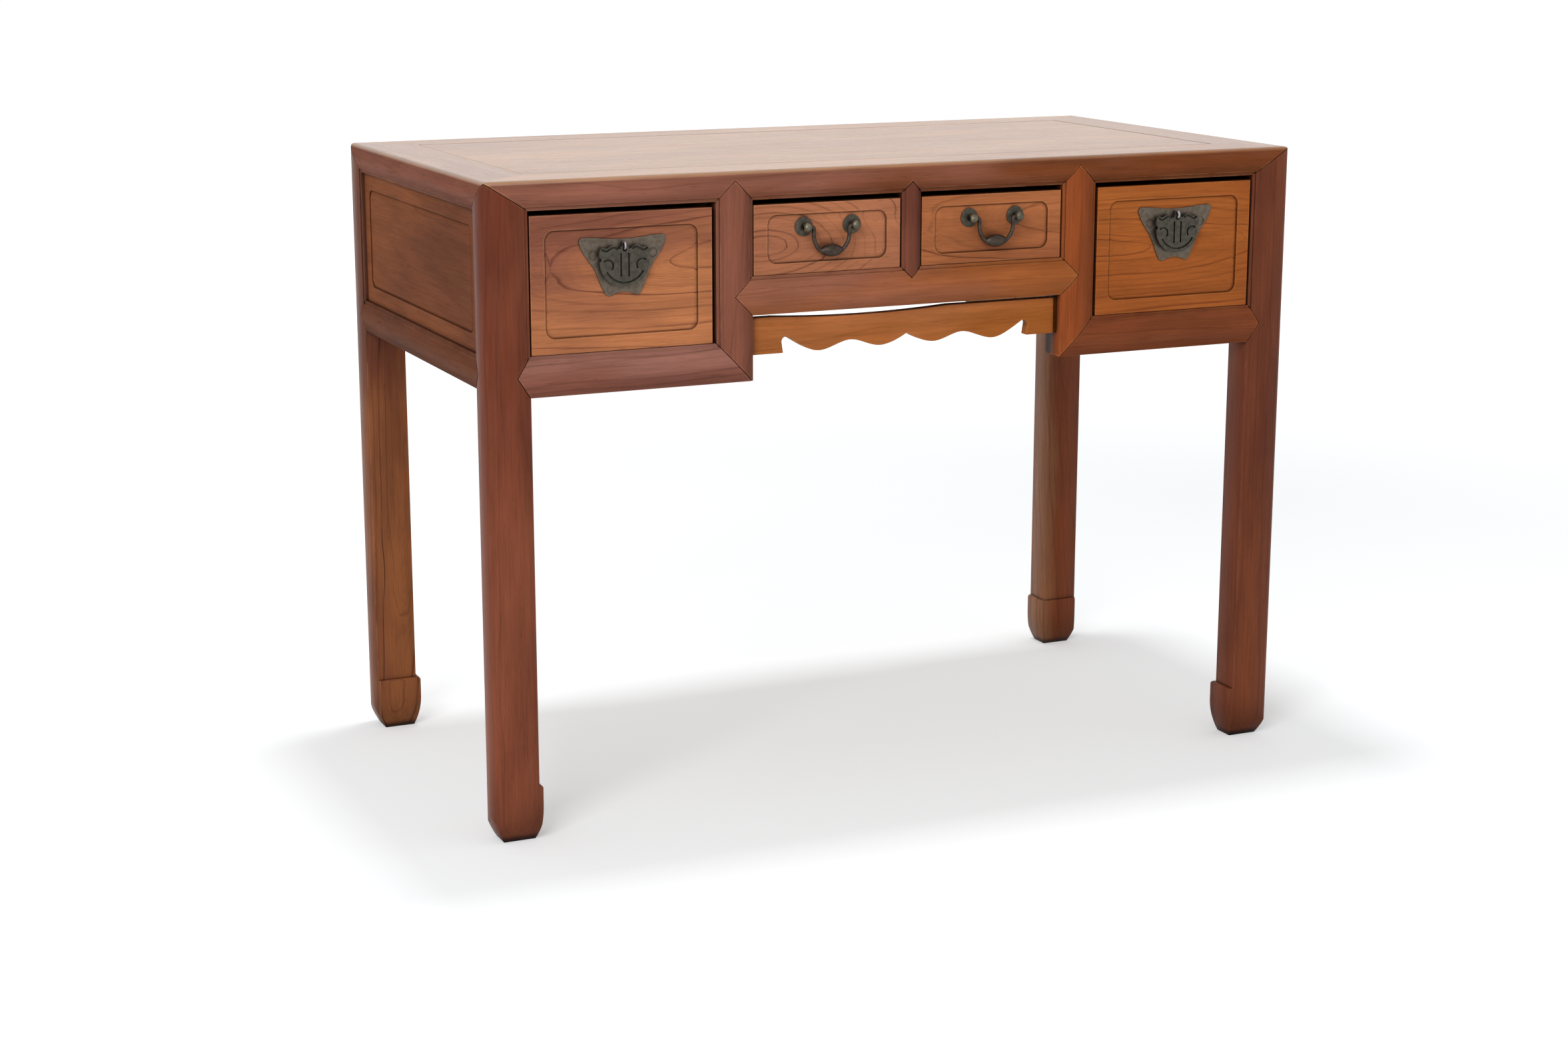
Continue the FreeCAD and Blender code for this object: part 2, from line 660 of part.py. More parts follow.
def mitre_zone():
    """Space of a leg's mitred head: it slopes down from the corner along both faces."""
    rise_across = TOP_RAIL_HEIGHT * OUTSIDE / LEG_WIDTH
    rise_along = TOP_RAIL_HEIGHT * OUTSIDE / LEG_DEPTH
    across = [
        V(-OUTSIDE, -OUTSIDE, RAIL_LINE), V(LEG_WIDTH, -OUTSIDE, RAIL_LINE),
        V(-OUTSIDE, -OUTSIDE, HEIGHT + rise_across),
    ]
    along = [
        V(-OUTSIDE, -OUTSIDE, RAIL_LINE), V(-OUTSIDE, LEG_DEPTH, RAIL_LINE),
        V(-OUTSIDE, -OUTSIDE, HEIGHT + rise_along),
    ]
    zone = prism(across, V(0, LEG_DEPTH + OUTSIDE, 0)).common(prism(along, V(LEG_WIDTH + OUTSIDE, 0, 0)))
    zone.translate(CORNER)
    return zone


def head_cap():
    """Space under the top's round edges, a little outside its faces."""
    block = box(-OVERRUN, WIDTH / 2, -OVERRUN, DEPTH / 2, RAIL_LINE, HEIGHT)
    outer_edges = [
        edge for edge in block.Edges
        if edge.BoundBox.ZMin > RAIL_LINE and (edge.BoundBox.XMax < 0 or edge.BoundBox.YMax < 0)
    ]
    cap = block.makeFillet(TOP_ROUND + OVERRUN, outer_edges)
    cap.translate(CORNER)
    return cap


def leg_tenons():
    """Two tenons on a leg's head, one into each top rail."""
    edge, thick, wide = LEG_TENON_EDGE, LEG_TENON_THICKNESS, LEG_TENON_WIDTH
    far_x, far_y = LEG_WIDTH - edge, LEG_DEPTH - edge
    tenons = [
        box(far_x - wide, far_x, edge, edge + thick, RAIL_LINE, LEG_TENON_TOP),
        box(edge, edge + thick, far_y - wide, far_y, RAIL_LINE, LEG_TENON_TOP),
    ]
    for shape in tenons:
        shape.translate(CORNER)
    return tenons


def leg():
    shaft = leg_shaft(0, HOOF_HEIGHT, HEIGHT)
    foot = hoof()
    shaft.translate(CORNER)
    foot.translate(CORNER)
    upper = box(-WIDTH, 0, -DEPTH, 0, RAIL_LINE, HEIGHT + OUTSIDE)
    head = shaft.common(mitre_zone()).common(head_cap())
    blank = joined(shaft.cut(upper), head, foot, *leg_tenons())
    cuts = [on_front(shape) for shape in with_room(outer_rail_end, x=-LAP_GAP) + front_strips[:1]]
    cuts += [on_left(mirrored(shape)) for shape in with_room(end_rail_end, x=-LAP_GAP)]
    cuts += [on_left(shape) for shape in [end_board] + end_strips]
    return blank.cut(cuts)


# Top panel and its battens

TOP_PANEL_X = WIDTH / 2 - TOP_RAIL_WIDTH
TOP_PANEL_Y = DEPTH / 2 - TOP_RAIL_WIDTH
TOP_PANEL_UNDER = HEIGHT - TOP_PANEL_THICKNESS

top_tongue = box(
    -TOP_PANEL_X - TOP_TONGUE_LENGTH, TOP_PANEL_X + TOP_TONGUE_LENGTH,
    -TOP_PANEL_Y - TOP_TONGUE_LENGTH, TOP_PANEL_Y + TOP_TONGUE_LENGTH,
    TOP_PANEL_UNDER, TOP_PANEL_UNDER + TOP_TONGUE_THICKNESS,
)


def batten(x):
    """Batten with a dovetailed key in the panel and a tenon in the front and back rails."""
    narrow, wide = BATTEN_KEY_NARROW / 2, BATTEN_KEY_WIDE / 2
    under, tip = TOP_PANEL_UNDER, TOP_PANEL_UNDER + BATTEN_KEY_HEIGHT
    dovetail = [(x - narrow, under), (x + narrow, under), (x + wide, tip), (x - wide, tip)]
    key = upright_prism(dovetail, -TOP_PANEL_Y, TOP_PANEL_Y)
    half = BATTEN_WIDTH / 2
    bar = box(x - half, x + half, -TOP_PANEL_Y, TOP_PANEL_Y, under - BATTEN_DROP, under)
    tenons = box(
        x - narrow, x + narrow, -TOP_PANEL_Y - BATTEN_TENON, TOP_PANEL_Y + BATTEN_TENON,
        under - BATTEN_TENON_HEIGHT, under,
    )
    return joined(bar, key, tenons)


battens = [batten(-BATTEN_X), batten(BATTEN_X)]


def top_panel():
    x, y = TOP_PANEL_X - TOP_PANEL_GAP, TOP_PANEL_Y - TOP_PANEL_GAP
    field = box(-x, x, -y, y, TOP_PANEL_UNDER, HEIGHT)
    return joined(field, top_tongue).cut(battens)


# Apron

def apron_outline():
    """Lower edge from the left end to the middle, as edges drawn on a face, and its mirror image."""
    def place(distance, depth):
        return V(distance - STILE_INNER, APRON_SETBACK, MIDDLE_RAIL_BOTTOM - depth)

    block_corner = place(APRON_BLOCK, APRON_DEPTH)
    hook = place(*APRON_HOOK)
    notch = place(*APRON_NOTCH)
    cusp = place(STILE_INNER, APRON_CUSP)
    wave = Part.BSplineCurve()
    wave.interpolate([notch] + [place(*p) for p in APRON_WAVE] + [cusp])
    half = [
        Part.makeLine(place(-APRON_TONGUE, APRON_DEPTH), block_corner),
        Part.makeLine(block_corner, hook),
        Part.Arc(hook, place(*APRON_NOTCH_MIDDLE), notch).toShape(),
        wave.toShape(),
    ]
    return half + [mirrored(edge) for edge in half]


def apron():
    end = STILE_INNER + APRON_TONGUE
    top = MIDDLE_RAIL_BOTTOM - APRON_GAP
    bottom = MIDDLE_RAIL_BOTTOM - APRON_DEPTH
    corners = [V(x, APRON_SETBACK, z) for x, z in ((-end, bottom), (-end, top), (end, top), (end, bottom))]
    edges = apron_outline() + Part.makePolygon(corners).Edges
    board = Part.Face(Part.Wire(Part.__sortEdges__(edges))).extrude(V(0, APRON_THICKNESS, 0))
    middle = (APRON_HOLLOW_START + APRON_HOLLOW_END) / 2
    ends = [V(x, 0, top) for x in (APRON_HOLLOW_START, APRON_HOLLOW_END)]
    hollow = [
        Part.Arc(ends[0], V(middle, 0, top - APRON_HOLLOW), ends[1]).toShape(),
        Part.makeLine(ends[1], ends[0]),
    ]
    hollow = Part.Face(Part.Wire(hollow)).extrude(V(0, MEMBER_DEPTH, 0))
    cheeks = [
        box(STILE_INNER - APRON_END_GAP, end, y, y + APRON_CHEEK, bottom - OUTSIDE, top + OUTSIDE)
        for y in (APRON_SETBACK, APRON_SETBACK + APRON_THICKNESS - APRON_CHEEK)
    ]
    return board.cut([hollow] + cheeks)


# Drawers, in place in the desk

def tails(x0, x1, y, z0, z1):
    """Dovetails on the front end of a drawer side, as many as fit between z0 and z1."""
    count = max(1, int((z1 - z0) / TAIL_SPACING))
    pitch = (z1 - z0) / count
    narrow, wide = TAIL_NARROW / 2, TAIL_WIDE / 2
    shapes = []
    for index in range(count):
        middle = z0 + pitch / 2 + index * pitch
        plan = [
            (y, middle - narrow), (y, middle + narrow),
            (y - TAIL_LENGTH, middle + wide), (y - TAIL_LENGTH, middle - wide),
        ]
        shapes.append(prism([V(x0, py, pz) for py, pz in plan], V(x1 - x0, 0, 0)))
    return shapes


def drawer(x0, x1, z0, z1, margin_x, margin_z):
    """Front, sides, back and bottom of a drawer; x0, x1, z0 and z1 are the edges of its front."""
    face, inside, end = DRAWER_FACE, DRAWER_FACE + FRONT_THICKNESS, DRAWER_FACE + DRAWER_DEPTH
    top = z1 - SIDE_DROP
    floor = z0 + BOTTOM_LIFT
    bottom = box(
        x0 + BOTTOM_GROOVE, x1 - BOTTOM_GROOVE, inside - BOTTOM_GROOVE, end,
        floor, floor + BOTTOM_THICKNESS,
    )
    back = box(
        x0 + BOTTOM_GROOVE, x1 - BOTTOM_GROOVE, end - BACK_SETBACK - BACK_THICKNESS, end - BACK_SETBACK,
        floor + BOTTOM_THICKNESS, top,
    )
    sides = []
    for low, high in ((x0, x0 + SIDE_THICKNESS), (x1 - SIDE_THICKNESS, x1)):
        board = box(low, high, inside, end, z0, top)
        board = joined(board, *tails(low, high, inside, floor + BOTTOM_THICKNESS, top))
        sides.append(board.cut([bottom, back]))
    line = incised_line(x0 + margin_x, x1 - margin_x, z0 + margin_z, z1 - margin_z)
    front = box(x0, x1, face, inside, z0, z1).cut(sides + [bottom, moved(line, y=face)])
    return front, sides, back, bottom


# Bat-shaped pull, drawn with the top middle of its plate at x = 0, z = 0 and the drawer face at y = 0

def outline_face(start, steps, y):
    """Symmetric face; steps lead from start on the middle line around one side to the middle line."""
    edges, here = [], start
    for step in steps:
        places = [V(here[0], y, here[1])] + [V(x, y, z) for x, z in step]
        if len(step) == 1:
            edges.append(Part.makeLine(*places))
        else:
            edges.append(Part.Arc(*places).toShape())
        here = step[-1]
    edges += [mirrored(edge) for edge in edges]
    return Part.Face(Part.Wire(Part.__sortEdges__(edges)))


PLATE_TOP = (0, -1.5)
PLATE_STEPS = [
    [(15, -1.2), (30, 0.2)],
    [(39, 1.2), (49, 1.4)],
    [(55.6, -0.6), (55.4, -6.6)],
    [(52.0, -15.0), (47.6, -22.0)],
    [(44.6, -26.0), (41.4, -30.4)],
    [(35.4, -40.4), (31.0, -51.0)],
    [(27.4, -59.6), (23.6, -67.0)],
    [(19.6, -70.6), (14.0, -69.4)],
    [(7.4, -67.2), (0, -66.5)],
]
PENDANT_TOP = (0, 5.4)
PENDANT_STEPS = [
    [(3.8, 3.8), (5.4, 0.4)],
    [(8.0, 0.5), (10.4, 2.4)],
    [(15.8, 4.8), (20.6, 2.4)],
    [(25.0, 1.6), (29.0, 3.4)],
    [(33.0, -3.0), (32.4, -9.6)],
    [(30.0, -11.8), (32.4, -14.6)],
    [(31.6, -22.4), (28.4, -30.2)],
    [(17.6, -41.6), (0, -45.6)],
]
STAPLE_Y = -PLATE_THICKNESS - STAPLE_RING - STAPLE_WIRE
EYE_Z = -STAPLE_DROP - STAPLE_RING


def staple():
    """Ring in front of the plate, with a shank through the drawer front that is clenched inside."""
    ring = Part.makeTorus(STAPLE_RING, STAPLE_WIRE, V(0, STAPLE_Y, -STAPLE_DROP), V(1, 0, 0))
    clench_y = FRONT_THICKNESS + STAPLE_WIRE
    ring_back = STAPLE_Y + STAPLE_RING
    shank = Part.makeCylinder(STAPLE_WIRE, clench_y - ring_back, V(0, ring_back, -STAPLE_DROP), V(0, 1, 0))
    clench_start = V(-CLENCH_REACH, clench_y, -STAPLE_DROP)
    clench = Part.makeCylinder(STAPLE_WIRE, 2 * CLENCH_REACH, clench_start, V(1, 0, 0))
    return joined(ring, shank, clench)


def staple_hole():
    return Part.makeCylinder(
        STAPLE_WIRE + STAPLE_HOLE_CLEARANCE, FRONT_THICKNESS + 2 * OUTSIDE,
        V(0, -OUTSIDE, -STAPLE_DROP), V(0, 1, 0),
    )


def ring_groove(x, z, radius, depth):
    """Cutter of a round groove in a face at y = 0."""
    start = V(x, -OVERRUN, z)
    outer = Part.makeCylinder(radius, OVERRUN + depth, start, V(0, 1, 0))
    inner = Part.makeCylinder(radius - GROOVE_WIDTH, OVERRUN + depth, start, V(0, 1, 0))
    return outer.cut(inner)


def pull_plate():
    face = outline_face(PLATE_TOP, PLATE_STEPS, 0)
    curls = both_sides([ring_groove(CURL_X, CURL_Z, CURL_RADIUS, CURL_DEPTH)])
    plate = face.extrude(V(0, PLATE_THICKNESS, 0)).cut(curls)
    return moved(plate, y=-PLATE_THICKNESS).cut(staple_hole())


def bent_groove(x, z, radius, start, turn):
    """Cutter of a groove along part of a circle in a face at y = 0; its angles go from +X to +Z."""
    centre = V(x, 0, z)
    outer = x + radius
    inner = outer - GROOVE_WIDTH
    corners = [
        V(inner, -OVERRUN, z), V(outer, -OVERRUN, z), V(outer, GROOVE_DEPTH, z), V(inner, GROOVE_DEPTH, z),
    ]
    section = Part.Face(Part.makePolygon(corners + corners[:1]))
    section.rotate(centre, V(0, -1, 0), start)
    return section.revolve(centre, V(0, -1, 0), turn)


def pendant():
    """Cast pendant with an eye; grooves mark its wavy brow, two scrolls, a middle rib and the lower rim."""
    face = outline_face(PENDANT_TOP, PENDANT_STEPS, 0)
    plate = face.extrude(V(0, PENDANT_THICKNESS, 0))
    grooves = [
        box(RIB_WIDTH / 2, RIB_WIDTH / 2 + GROOVE_WIDTH, -OVERRUN, GROOVE_DEPTH, RIB_BOTTOM, RIB_TOP),
        bent_groove(SCROLL_X, SCROLL_Z, SCROLL_RADIUS, SCROLL_START, SCROLL_TURN),
        bent_groove(BROW_DIP_X, BROW_DIP_Z, BROW_RADIUS, 270 - BROW_TURN / 2, BROW_TURN),
        bent_groove(BROW_HUMP_X, BROW_HUMP_Z, BROW_RADIUS, 90 - BROW_TURN / 2, BROW_TURN),
    ]
    rim = bent_groove(0, RIM_Z, RIM_RADIUS, 270 - RIM_TURN / 2, RIM_TURN)
    eye = Part.makeCylinder(PENDANT_EYE, PENDANT_THICKNESS + 2 * OUTSIDE, V(0, -OUTSIDE, 0), V(0, 1, 0))
    solid = plate.cut([eye, rim] + both_sides(grooves))
    return moved(solid, y=STAPLE_Y - PENDANT_THICKNESS / 2, z=EYE_Z)


# Bail pull, drawn with its pivot axis on X through the origin

def rosette(x):
    """Round plate with a low dome and a hole for the post, standing on the drawer face."""
    rise = ROSETTE_DOME - ROSETTE_EDGE
    dome_radius = (ROSETTE_RADIUS ** 2 + rise ** 2) / (2 * rise)
    front = POST_REACH - ROSETTE_DOME
    dome = Part.makeSphere(dome_radius, V(x, front + dome_radius, 0))
    disc = Part.makeCylinder(ROSETTE_RADIUS, ROSETTE_DOME + OUTSIDE, V(x, front - OUTSIDE, 0), V(0, 1, 0))
    return disc.common(dome).cut(post_hole(x))


def post_hole(x):
    return Part.makeCylinder(
        POST_RADIUS + POST_HOLE_CLEARANCE, FRONT_THICKNESS + 2 * OUTSIDE,
        V(x, POST_REACH - OUTSIDE, 0), V(0, 1, 0),
    )


def post(x):
    """Ball-headed post with a nut inside the drawer and a cross hole for the bail."""
    ball = Part.makeSphere(BALL_RADIUS, V(x, 0, 0))
    length = POST_REACH + FRONT_THICKNESS + NUT_THICKNESS
    shank = Part.makeCylinder(POST_RADIUS, length, V(x, 0, 0), V(0, 1, 0))
    nut = Part.makeCylinder(NUT_RADIUS, NUT_THICKNESS, V(x, POST_REACH + FRONT_THICKNESS, 0), V(0, 1, 0))
    hole_start = V(x - 2 * BALL_RADIUS, 0, 0)
    hole = Part.makeCylinder(BAIL_WIRE + BAIL_HOLE_CLEARANCE, 4 * BALL_RADIUS, hole_start, V(1, 0, 0))
    return joined(ball, shank, nut).cut(hole)


def bail():
    """Round bar that hangs in a half circle from two pins, with a spindle-shaped grip at its bottom."""
    arm, bend, drop = BAIL_HALF_WIDTH, BAIL_SHOULDER, BAIL_SHOULDER + BAIL_STRAIGHT
    start = arm + bend
    pin = Part.makeCylinder(BAIL_WIRE, POST_SPACING / 2 + BAIL_PIN - start, V(start, 0, 0), V(1, 0, 0))
    shoulder = Part.Face(Part.Wire(Part.makeCircle(BAIL_WIRE, V(start, 0, 0), V(1, 0, 0))))
    shoulder = shoulder.revolve(V(start, 0, -bend), V(0, 1, 0), -90)
    straight = Part.makeCylinder(BAIL_WIRE, BAIL_STRAIGHT, V(arm, 0, -bend), V(0, 0, -1))
    half = [pin, shoulder, straight]
    loop = Part.Face(Part.Wire(Part.makeCircle(BAIL_WIRE, V(arm, 0, -drop), V(0, 0, 1))))
    loop = loop.revolve(V(0, 0, -drop), V(0, 1, 0), 180)
    bar = joined(loop, *half, *[turned(shape, 180) for shape in half])
    middle = V(0, 0, GRIP_RADIUS - GRIP_PROUD - BAIL_WIRE - arm - drop)
    tips = [middle - V(GRIP_HALF_LENGTH, 0, 0), middle + V(GRIP_HALF_LENGTH, 0, 0)]
    curve = Part.Arc(tips[0], middle + V(0, 0, GRIP_RADIUS), tips[1]).toShape()
    grip = Part.Face(Part.Wire([curve, Part.makeLine(tips[1], tips[0])])).revolve(middle, V(1, 0, 0), 360)
    return bar.fuse(grip)


# Write the case

os.makedirs("parts", exist_ok=True)

frame_top = top_block()
zones = both_sides([mitre_zone(), moved(mitre_zone(), z=LAP_GAP)] + leg_tenons())
zones += [mirrored_to_back(shape) for shape in zones]
top_cuts = zones + [top_tongue] + battens
heads = [on_front(shape) for shape in both_sides(with_room(stile_head, z=LAP_GAP))]
front_rail = frame_top.common(rail_sector(WIDTH / 2, DEPTH / 2))
front_heads = heads + [on_front(shape) for shape in with_room(centre_head, z=LAP_GAP) + front_strips]
back_heads = [mirrored_to_back(shape) for shape in heads]
back_heads += [on_back(shape) for shape in back_boards + back_strips]
left_rail = frame_top.common(turned(rail_sector(DEPTH / 2, WIDTH / 2), -90))
left_rail = left_rail.cut(top_cuts + [on_left(shape) for shape in [end_board] + end_strips])
save("top_front_rail", front_rail.cut(top_cuts + front_heads))
save("top_back_rail", mirrored_to_back(front_rail).cut(top_cuts + back_heads))
save("top_left_rail", left_rail)
save("top_right_rail", mirrored(left_rail))
save("top_panel", top_panel())
save("top_battens", *battens)

front_leg = leg()
back_leg = mirrored_to_back(front_leg).cut([on_back(mirrored(shape)) for shape in back_boards[:1]])
save("front_left_leg", front_leg)
save("front_right_leg", mirrored(front_leg))
save("back_left_leg", back_leg)
save("back_right_leg", mirrored(back_leg))

front_stile = on_front(frame_stile(front_strips + [apron_zone]))
front_outer_rail = on_front(frame_outer_rail(front_strips))
save("front_left_stile", front_stile)
save("front_right_stile", mirrored(front_stile))
save("front_left_rail", front_outer_rail)
save("front_right_rail", mirrored(front_outer_rail))
centre_foot_cuts = with_room(centre_foot, z=-LAP_GAP)
save("front_middle_rail", on_front(frame_middle_rail(centre_foot_cuts + front_strips)))
save("front_centre_stile", on_front(frame_centre_stile()))
save("apron", on_front(apron()))

back_stile = on_back(frame_stile(back_strips + back_boards))
back_outer_rail = on_back(frame_outer_rail(back_strips + back_boards))
save("back_right_stile", back_stile)
save("back_left_stile", mirrored(back_stile))
save("back_right_rail", back_outer_rail)
save("back_left_rail", mirrored(back_outer_rail))
save("back_middle_rail", on_back(frame_middle_rail(back_strips + back_boards)))
save("back_panels", *[on_back(board) for board in back_boards])

end_rail = on_left(frame_end_rail())
line_edge = END_HALF - END_PANEL_MARGIN
end_line = incised_line(
    -line_edge, line_edge, DRAWER_FLOOR + END_PANEL_MARGIN, RAIL_LINE - END_PANEL_MARGIN,
)
end_panel = on_left(end_board.cut(moved(end_line, y=PANEL_SETBACK)))
save("left_end_rail", end_rail)
save("right_end_rail", mirrored(end_rail))
save("left_end_panel", end_panel)
save("right_end_panel", mirrored(end_panel))

save("left_partition", partition)
save("right_partition", mirrored(partition))
save("deep_drawer_runners", *both_sides([outer_runner, inner_runner]))
save("shallow_drawer_runners", centre_runner, *both_sides([shallow_runner]))

# Write the drawers and their pulls

deep_edges = (-LEG_INNER + DEEP_OUTER_GAP, -STILE_OUTER - DEEP_INNER_GAP)
deep_top = RAIL_LINE - DEEP_TOP_GAP
deep_front, deep_sides, deep_back, deep_bottom = drawer(
    *deep_edges, DRAWER_FLOOR + DRAWER_LIFT, deep_top, DEEP_LINE_MARGIN, DEEP_LINE_MARGIN,
)
pull_x, pull_z = sum(deep_edges) / 2, deep_top - PULL_TOP_DROP
deep_front = deep_front.cut(moved(staple_hole(), pull_x, DRAWER_FACE, pull_z))
for side, place, x in (("left", lambda shape: shape, pull_x), ("right", mirrored, -pull_x)):
    save(side + "_drawer_front", place(deep_front))
    save(side + "_drawer_sides", *[place(board) for board in deep_sides])
    save(side + "_drawer_back", place(deep_back))
    save(side + "_drawer_bottom", place(deep_bottom))
    save(side + "_pull_plate", moved(pull_plate(), x, DRAWER_FACE, pull_z))
    save(side + "_pull_pendant", moved(pendant(), x, DRAWER_FACE, pull_z))
    save(side + "_pull_staple", moved(staple(), x, DRAWER_FACE, pull_z))

shallow_edges = (-STILE_INNER + SHALLOW_SIDE_GAP, -CENTRE_POINT - SHALLOW_SIDE_GAP)
shallow_top = RAIL_LINE - SHALLOW_TOP_GAP
shallow_front, shallow_sides, shallow_back, shallow_bottom = drawer(
    *shallow_edges, MIDDLE_RAIL_TOP + DRAWER_LIFT, shallow_top,
    SHALLOW_LINE_MARGIN_X, SHALLOW_LINE_MARGIN_Z,
)
bail_x, bail_z = sum(shallow_edges) / 2, shallow_top - BAIL_DROP
posts = (-POST_SPACING / 2, POST_SPACING / 2)
shallow_front = shallow_front.cut([moved(post_hole(offset), bail_x, PIVOT_Y, bail_z) for offset in posts])
for side, place, x in (("centre_left", lambda shape: shape, bail_x), ("centre_right", mirrored, -bail_x)):
    save(side + "_drawer_front", place(shallow_front))
    save(side + "_drawer_sides", *[place(board) for board in shallow_sides])
    save(side + "_drawer_back", place(shallow_back))
    save(side + "_drawer_bottom", place(shallow_bottom))
    save(side + "_rosettes", *[moved(rosette(offset), x, PIVOT_Y, bail_z) for offset in posts])
    save(side + "_posts", *[moved(post(offset), x, PIVOT_Y, bail_z) for offset in posts])
    save(side + "_bail", moved(bail(), x, PIVOT_Y, bail_z))
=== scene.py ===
import json
import math

import bpy
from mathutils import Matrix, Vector

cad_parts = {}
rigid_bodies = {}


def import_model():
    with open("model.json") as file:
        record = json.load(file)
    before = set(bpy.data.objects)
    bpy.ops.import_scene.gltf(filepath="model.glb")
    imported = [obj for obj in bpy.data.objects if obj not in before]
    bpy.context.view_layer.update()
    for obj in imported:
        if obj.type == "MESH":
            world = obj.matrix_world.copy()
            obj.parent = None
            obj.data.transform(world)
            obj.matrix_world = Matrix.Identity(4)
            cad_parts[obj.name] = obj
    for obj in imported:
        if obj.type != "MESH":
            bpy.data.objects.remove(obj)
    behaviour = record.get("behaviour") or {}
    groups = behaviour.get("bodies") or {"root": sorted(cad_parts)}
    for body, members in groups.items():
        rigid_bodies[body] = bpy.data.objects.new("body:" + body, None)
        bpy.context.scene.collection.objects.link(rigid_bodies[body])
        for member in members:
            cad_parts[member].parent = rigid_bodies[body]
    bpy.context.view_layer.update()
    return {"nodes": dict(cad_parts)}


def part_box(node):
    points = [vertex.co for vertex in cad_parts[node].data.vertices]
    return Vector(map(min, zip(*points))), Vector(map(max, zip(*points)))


# Looks of a kneehole writing desk: wood, bronze, studio floor, light and camera.
# Lengths are in metres. Colours of wood and metal are red, green and blue from 0 to 255, as on a screen.

for start_object in list(bpy.data.objects):
    bpy.data.objects.remove(start_object)
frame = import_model()
nodes = frame["nodes"]

# Softened edges of the wood and the metal
WOOD_EDGE = 0.0013
PANEL_EDGE = 0.0016
METAL_EDGE = 0.0003
SHARP_ANGLE = math.radians(32)
FLAT_ANGLE = math.radians(0.3)
EDGE_SEGMENTS = 2
WELD_GAP = 0.00002

# Noise in the wood: waves per metre along the grain and in the two directions across it
SWAY_WAVES = (2.6, 11.0, 11.0)
RIPPLE_WAVES = (14.0, 90.0, 90.0)
FADING_WAVES = (9.0, 60.0, 60.0)
FIBRE_WAVES = (12.0, 380.0, 380.0)
PORE_WAVES = (55.0, 1300.0, 1300.0)
PATCH_WAVES = (3.0, 10.0, 10.0)
MOTTLE_WAVES = (6.0, 32.0, 32.0)
SCUFF_WAVES = (28.0, 70.0, 70.0)

# Roughness and middle of a noise, and the directions across the grain
NOISE_ROUGHNESS = 0.55
NOISE_MIDDLE = (0.5, 0.5, 0.5)
ACROSS = (0.0, 1.0, 1.0)

# Noise values between which each mark in the wood comes in
FADING_RANGE = (0.30, 0.62)
FIBRE_RANGE = (0.25, 0.75)
PORE_RANGE = (0.58, 0.74)
PATCH_RANGE = (0.32, 0.70)
MOTTLE_RANGE = (0.3, 0.7)
SCUFF_RANGE = (0.36, 0.62)

# Rings of the wood: how far sway and ripple bend them, how uneven they are and how slowly they may spread
SWAY = 0.030
RIPPLE = 0.0024
UNEVEN = 1.3
UNEVEN_WAVES = 38.0
LEAST_GROWTH = 0.04

# The dark line that ends a ring: its width, its soft edges, and its strength where it is weak or fades
LATE_START = 0.0034
LATE_FULL = 0.0002
SOFT_END = 0.0005
SOFT_START = 0.0006
END_STRENGTH = 0.5
START_STRENGTH = 0.2
STRENGTH_RANGE = (0.30, 1.0)
WEAK_STRENGTH = 0.08
FADED_STRENGTH = 0.45

# Fine rings in each ring: their number, strength, slow rise and quick drop
FINE_RINGS = 4.3
FINE_STRENGTH = 0.08
FINE_RISE = (0.3, 0.85)
FINE_DROP = (1.0, 0.86)

# Part of a ring over which the pores thin out, and the share of them that is left after it
PORE_THINNING = (0.0, 0.6)
LATE_PORES = 0.35

# Brightness from dark to pale fibres and mottles, and brightness lost in the pores
FIBRE_SHADE = (0.89, 1.09)
MOTTLE_SHADE = (0.88, 1.12)
PORE_SHADE = 0.30

# Reach of worn edges, which on the wood carry painted highlights, and of corners with dirt and painted
# shade, and height over which the wood gets darker towards the floor
WOOD_WEAR_AND_HIGHLIGHT_REACH = 0.0035
WOOD_CORNER = 0.012
METAL_WORN = 0.0009
METAL_CORNER = 0.006
FOOT_DARK_HEIGHT = 0.07
SOLE_DARK_HEIGHT = 0.012

# Ranges of flatness in which an edge brightens, and of openness in which it brightens and in which dirt and
# painted shade thin out; on the wood the bright edge is wear with a painted highlight, on the metal wear
WOOD_BEND = (0.995, 0.86)
WOOD_EXPOSED = (0.70, 0.92)
WOOD_DIRT_AND_SHADE = (0.35, 0.94)
METAL_BEND = (0.99, 0.82)
METAL_EXPOSED = (0.55, 0.9)
METAL_DIRT_AND_SHADE = (0.35, 0.95)

# Brightness left where dirt and painted shade are thickest, and at the foot and the sole, where the wood
# gets darker towards the floor
WOOD_CORNER_SHADE = 0.20
METAL_CORNER_SHADE = 0.10
FOOT_SHADE = 0.62
SOLE_SHADE = 0.50

# Roughness of the wood, and what ripple, pores and patina add to a roughness
WOOD_ROUGHNESS = 0.36
RIPPLE_ROUGHNESS = 0.16
PORE_ROUGHNESS = 0.20
PATINA_ROUGHNESS = 0.25

# Relief of the wood and the metal: its height, its strength and what rises or sinks in it
GRAIN_HEIGHT = 0.0004
GRAIN_STRENGTH = 0.35
FIBRE_RELIEF = 0.35
PORE_RELIEF = -0.8
LINE_RELIEF = -0.30
METAL_HEIGHT = 0.0003
METAL_STRENGTH = 0.3
GRIT_RELIEF = 0.4

# Metal: waves of its noise per metre, range of its patina, share of bright edges, and how metallic it is
PATINA_WAVES = (160.0, 160.0, 160.0)
GRIT_WAVES = (900.0, 900.0, 900.0)
PATINA_RANGE = (0.38, 0.62)
METAL_WEAR = 0.5
METALLIC = 0.85

# Faces that look up are paler, from fading and a painted sheen, and smoother, by shares that rise with the
# upward part of the normal
FADED_AND_SHEEN = (1.35, 1.75, 1.15, 1.0)
FADE_AND_SHEEN_RISE = (0.1, 0.9)
POLISH_RISE = (0.3, 0.95)
POLISH_ROUGHNESS = 0.5

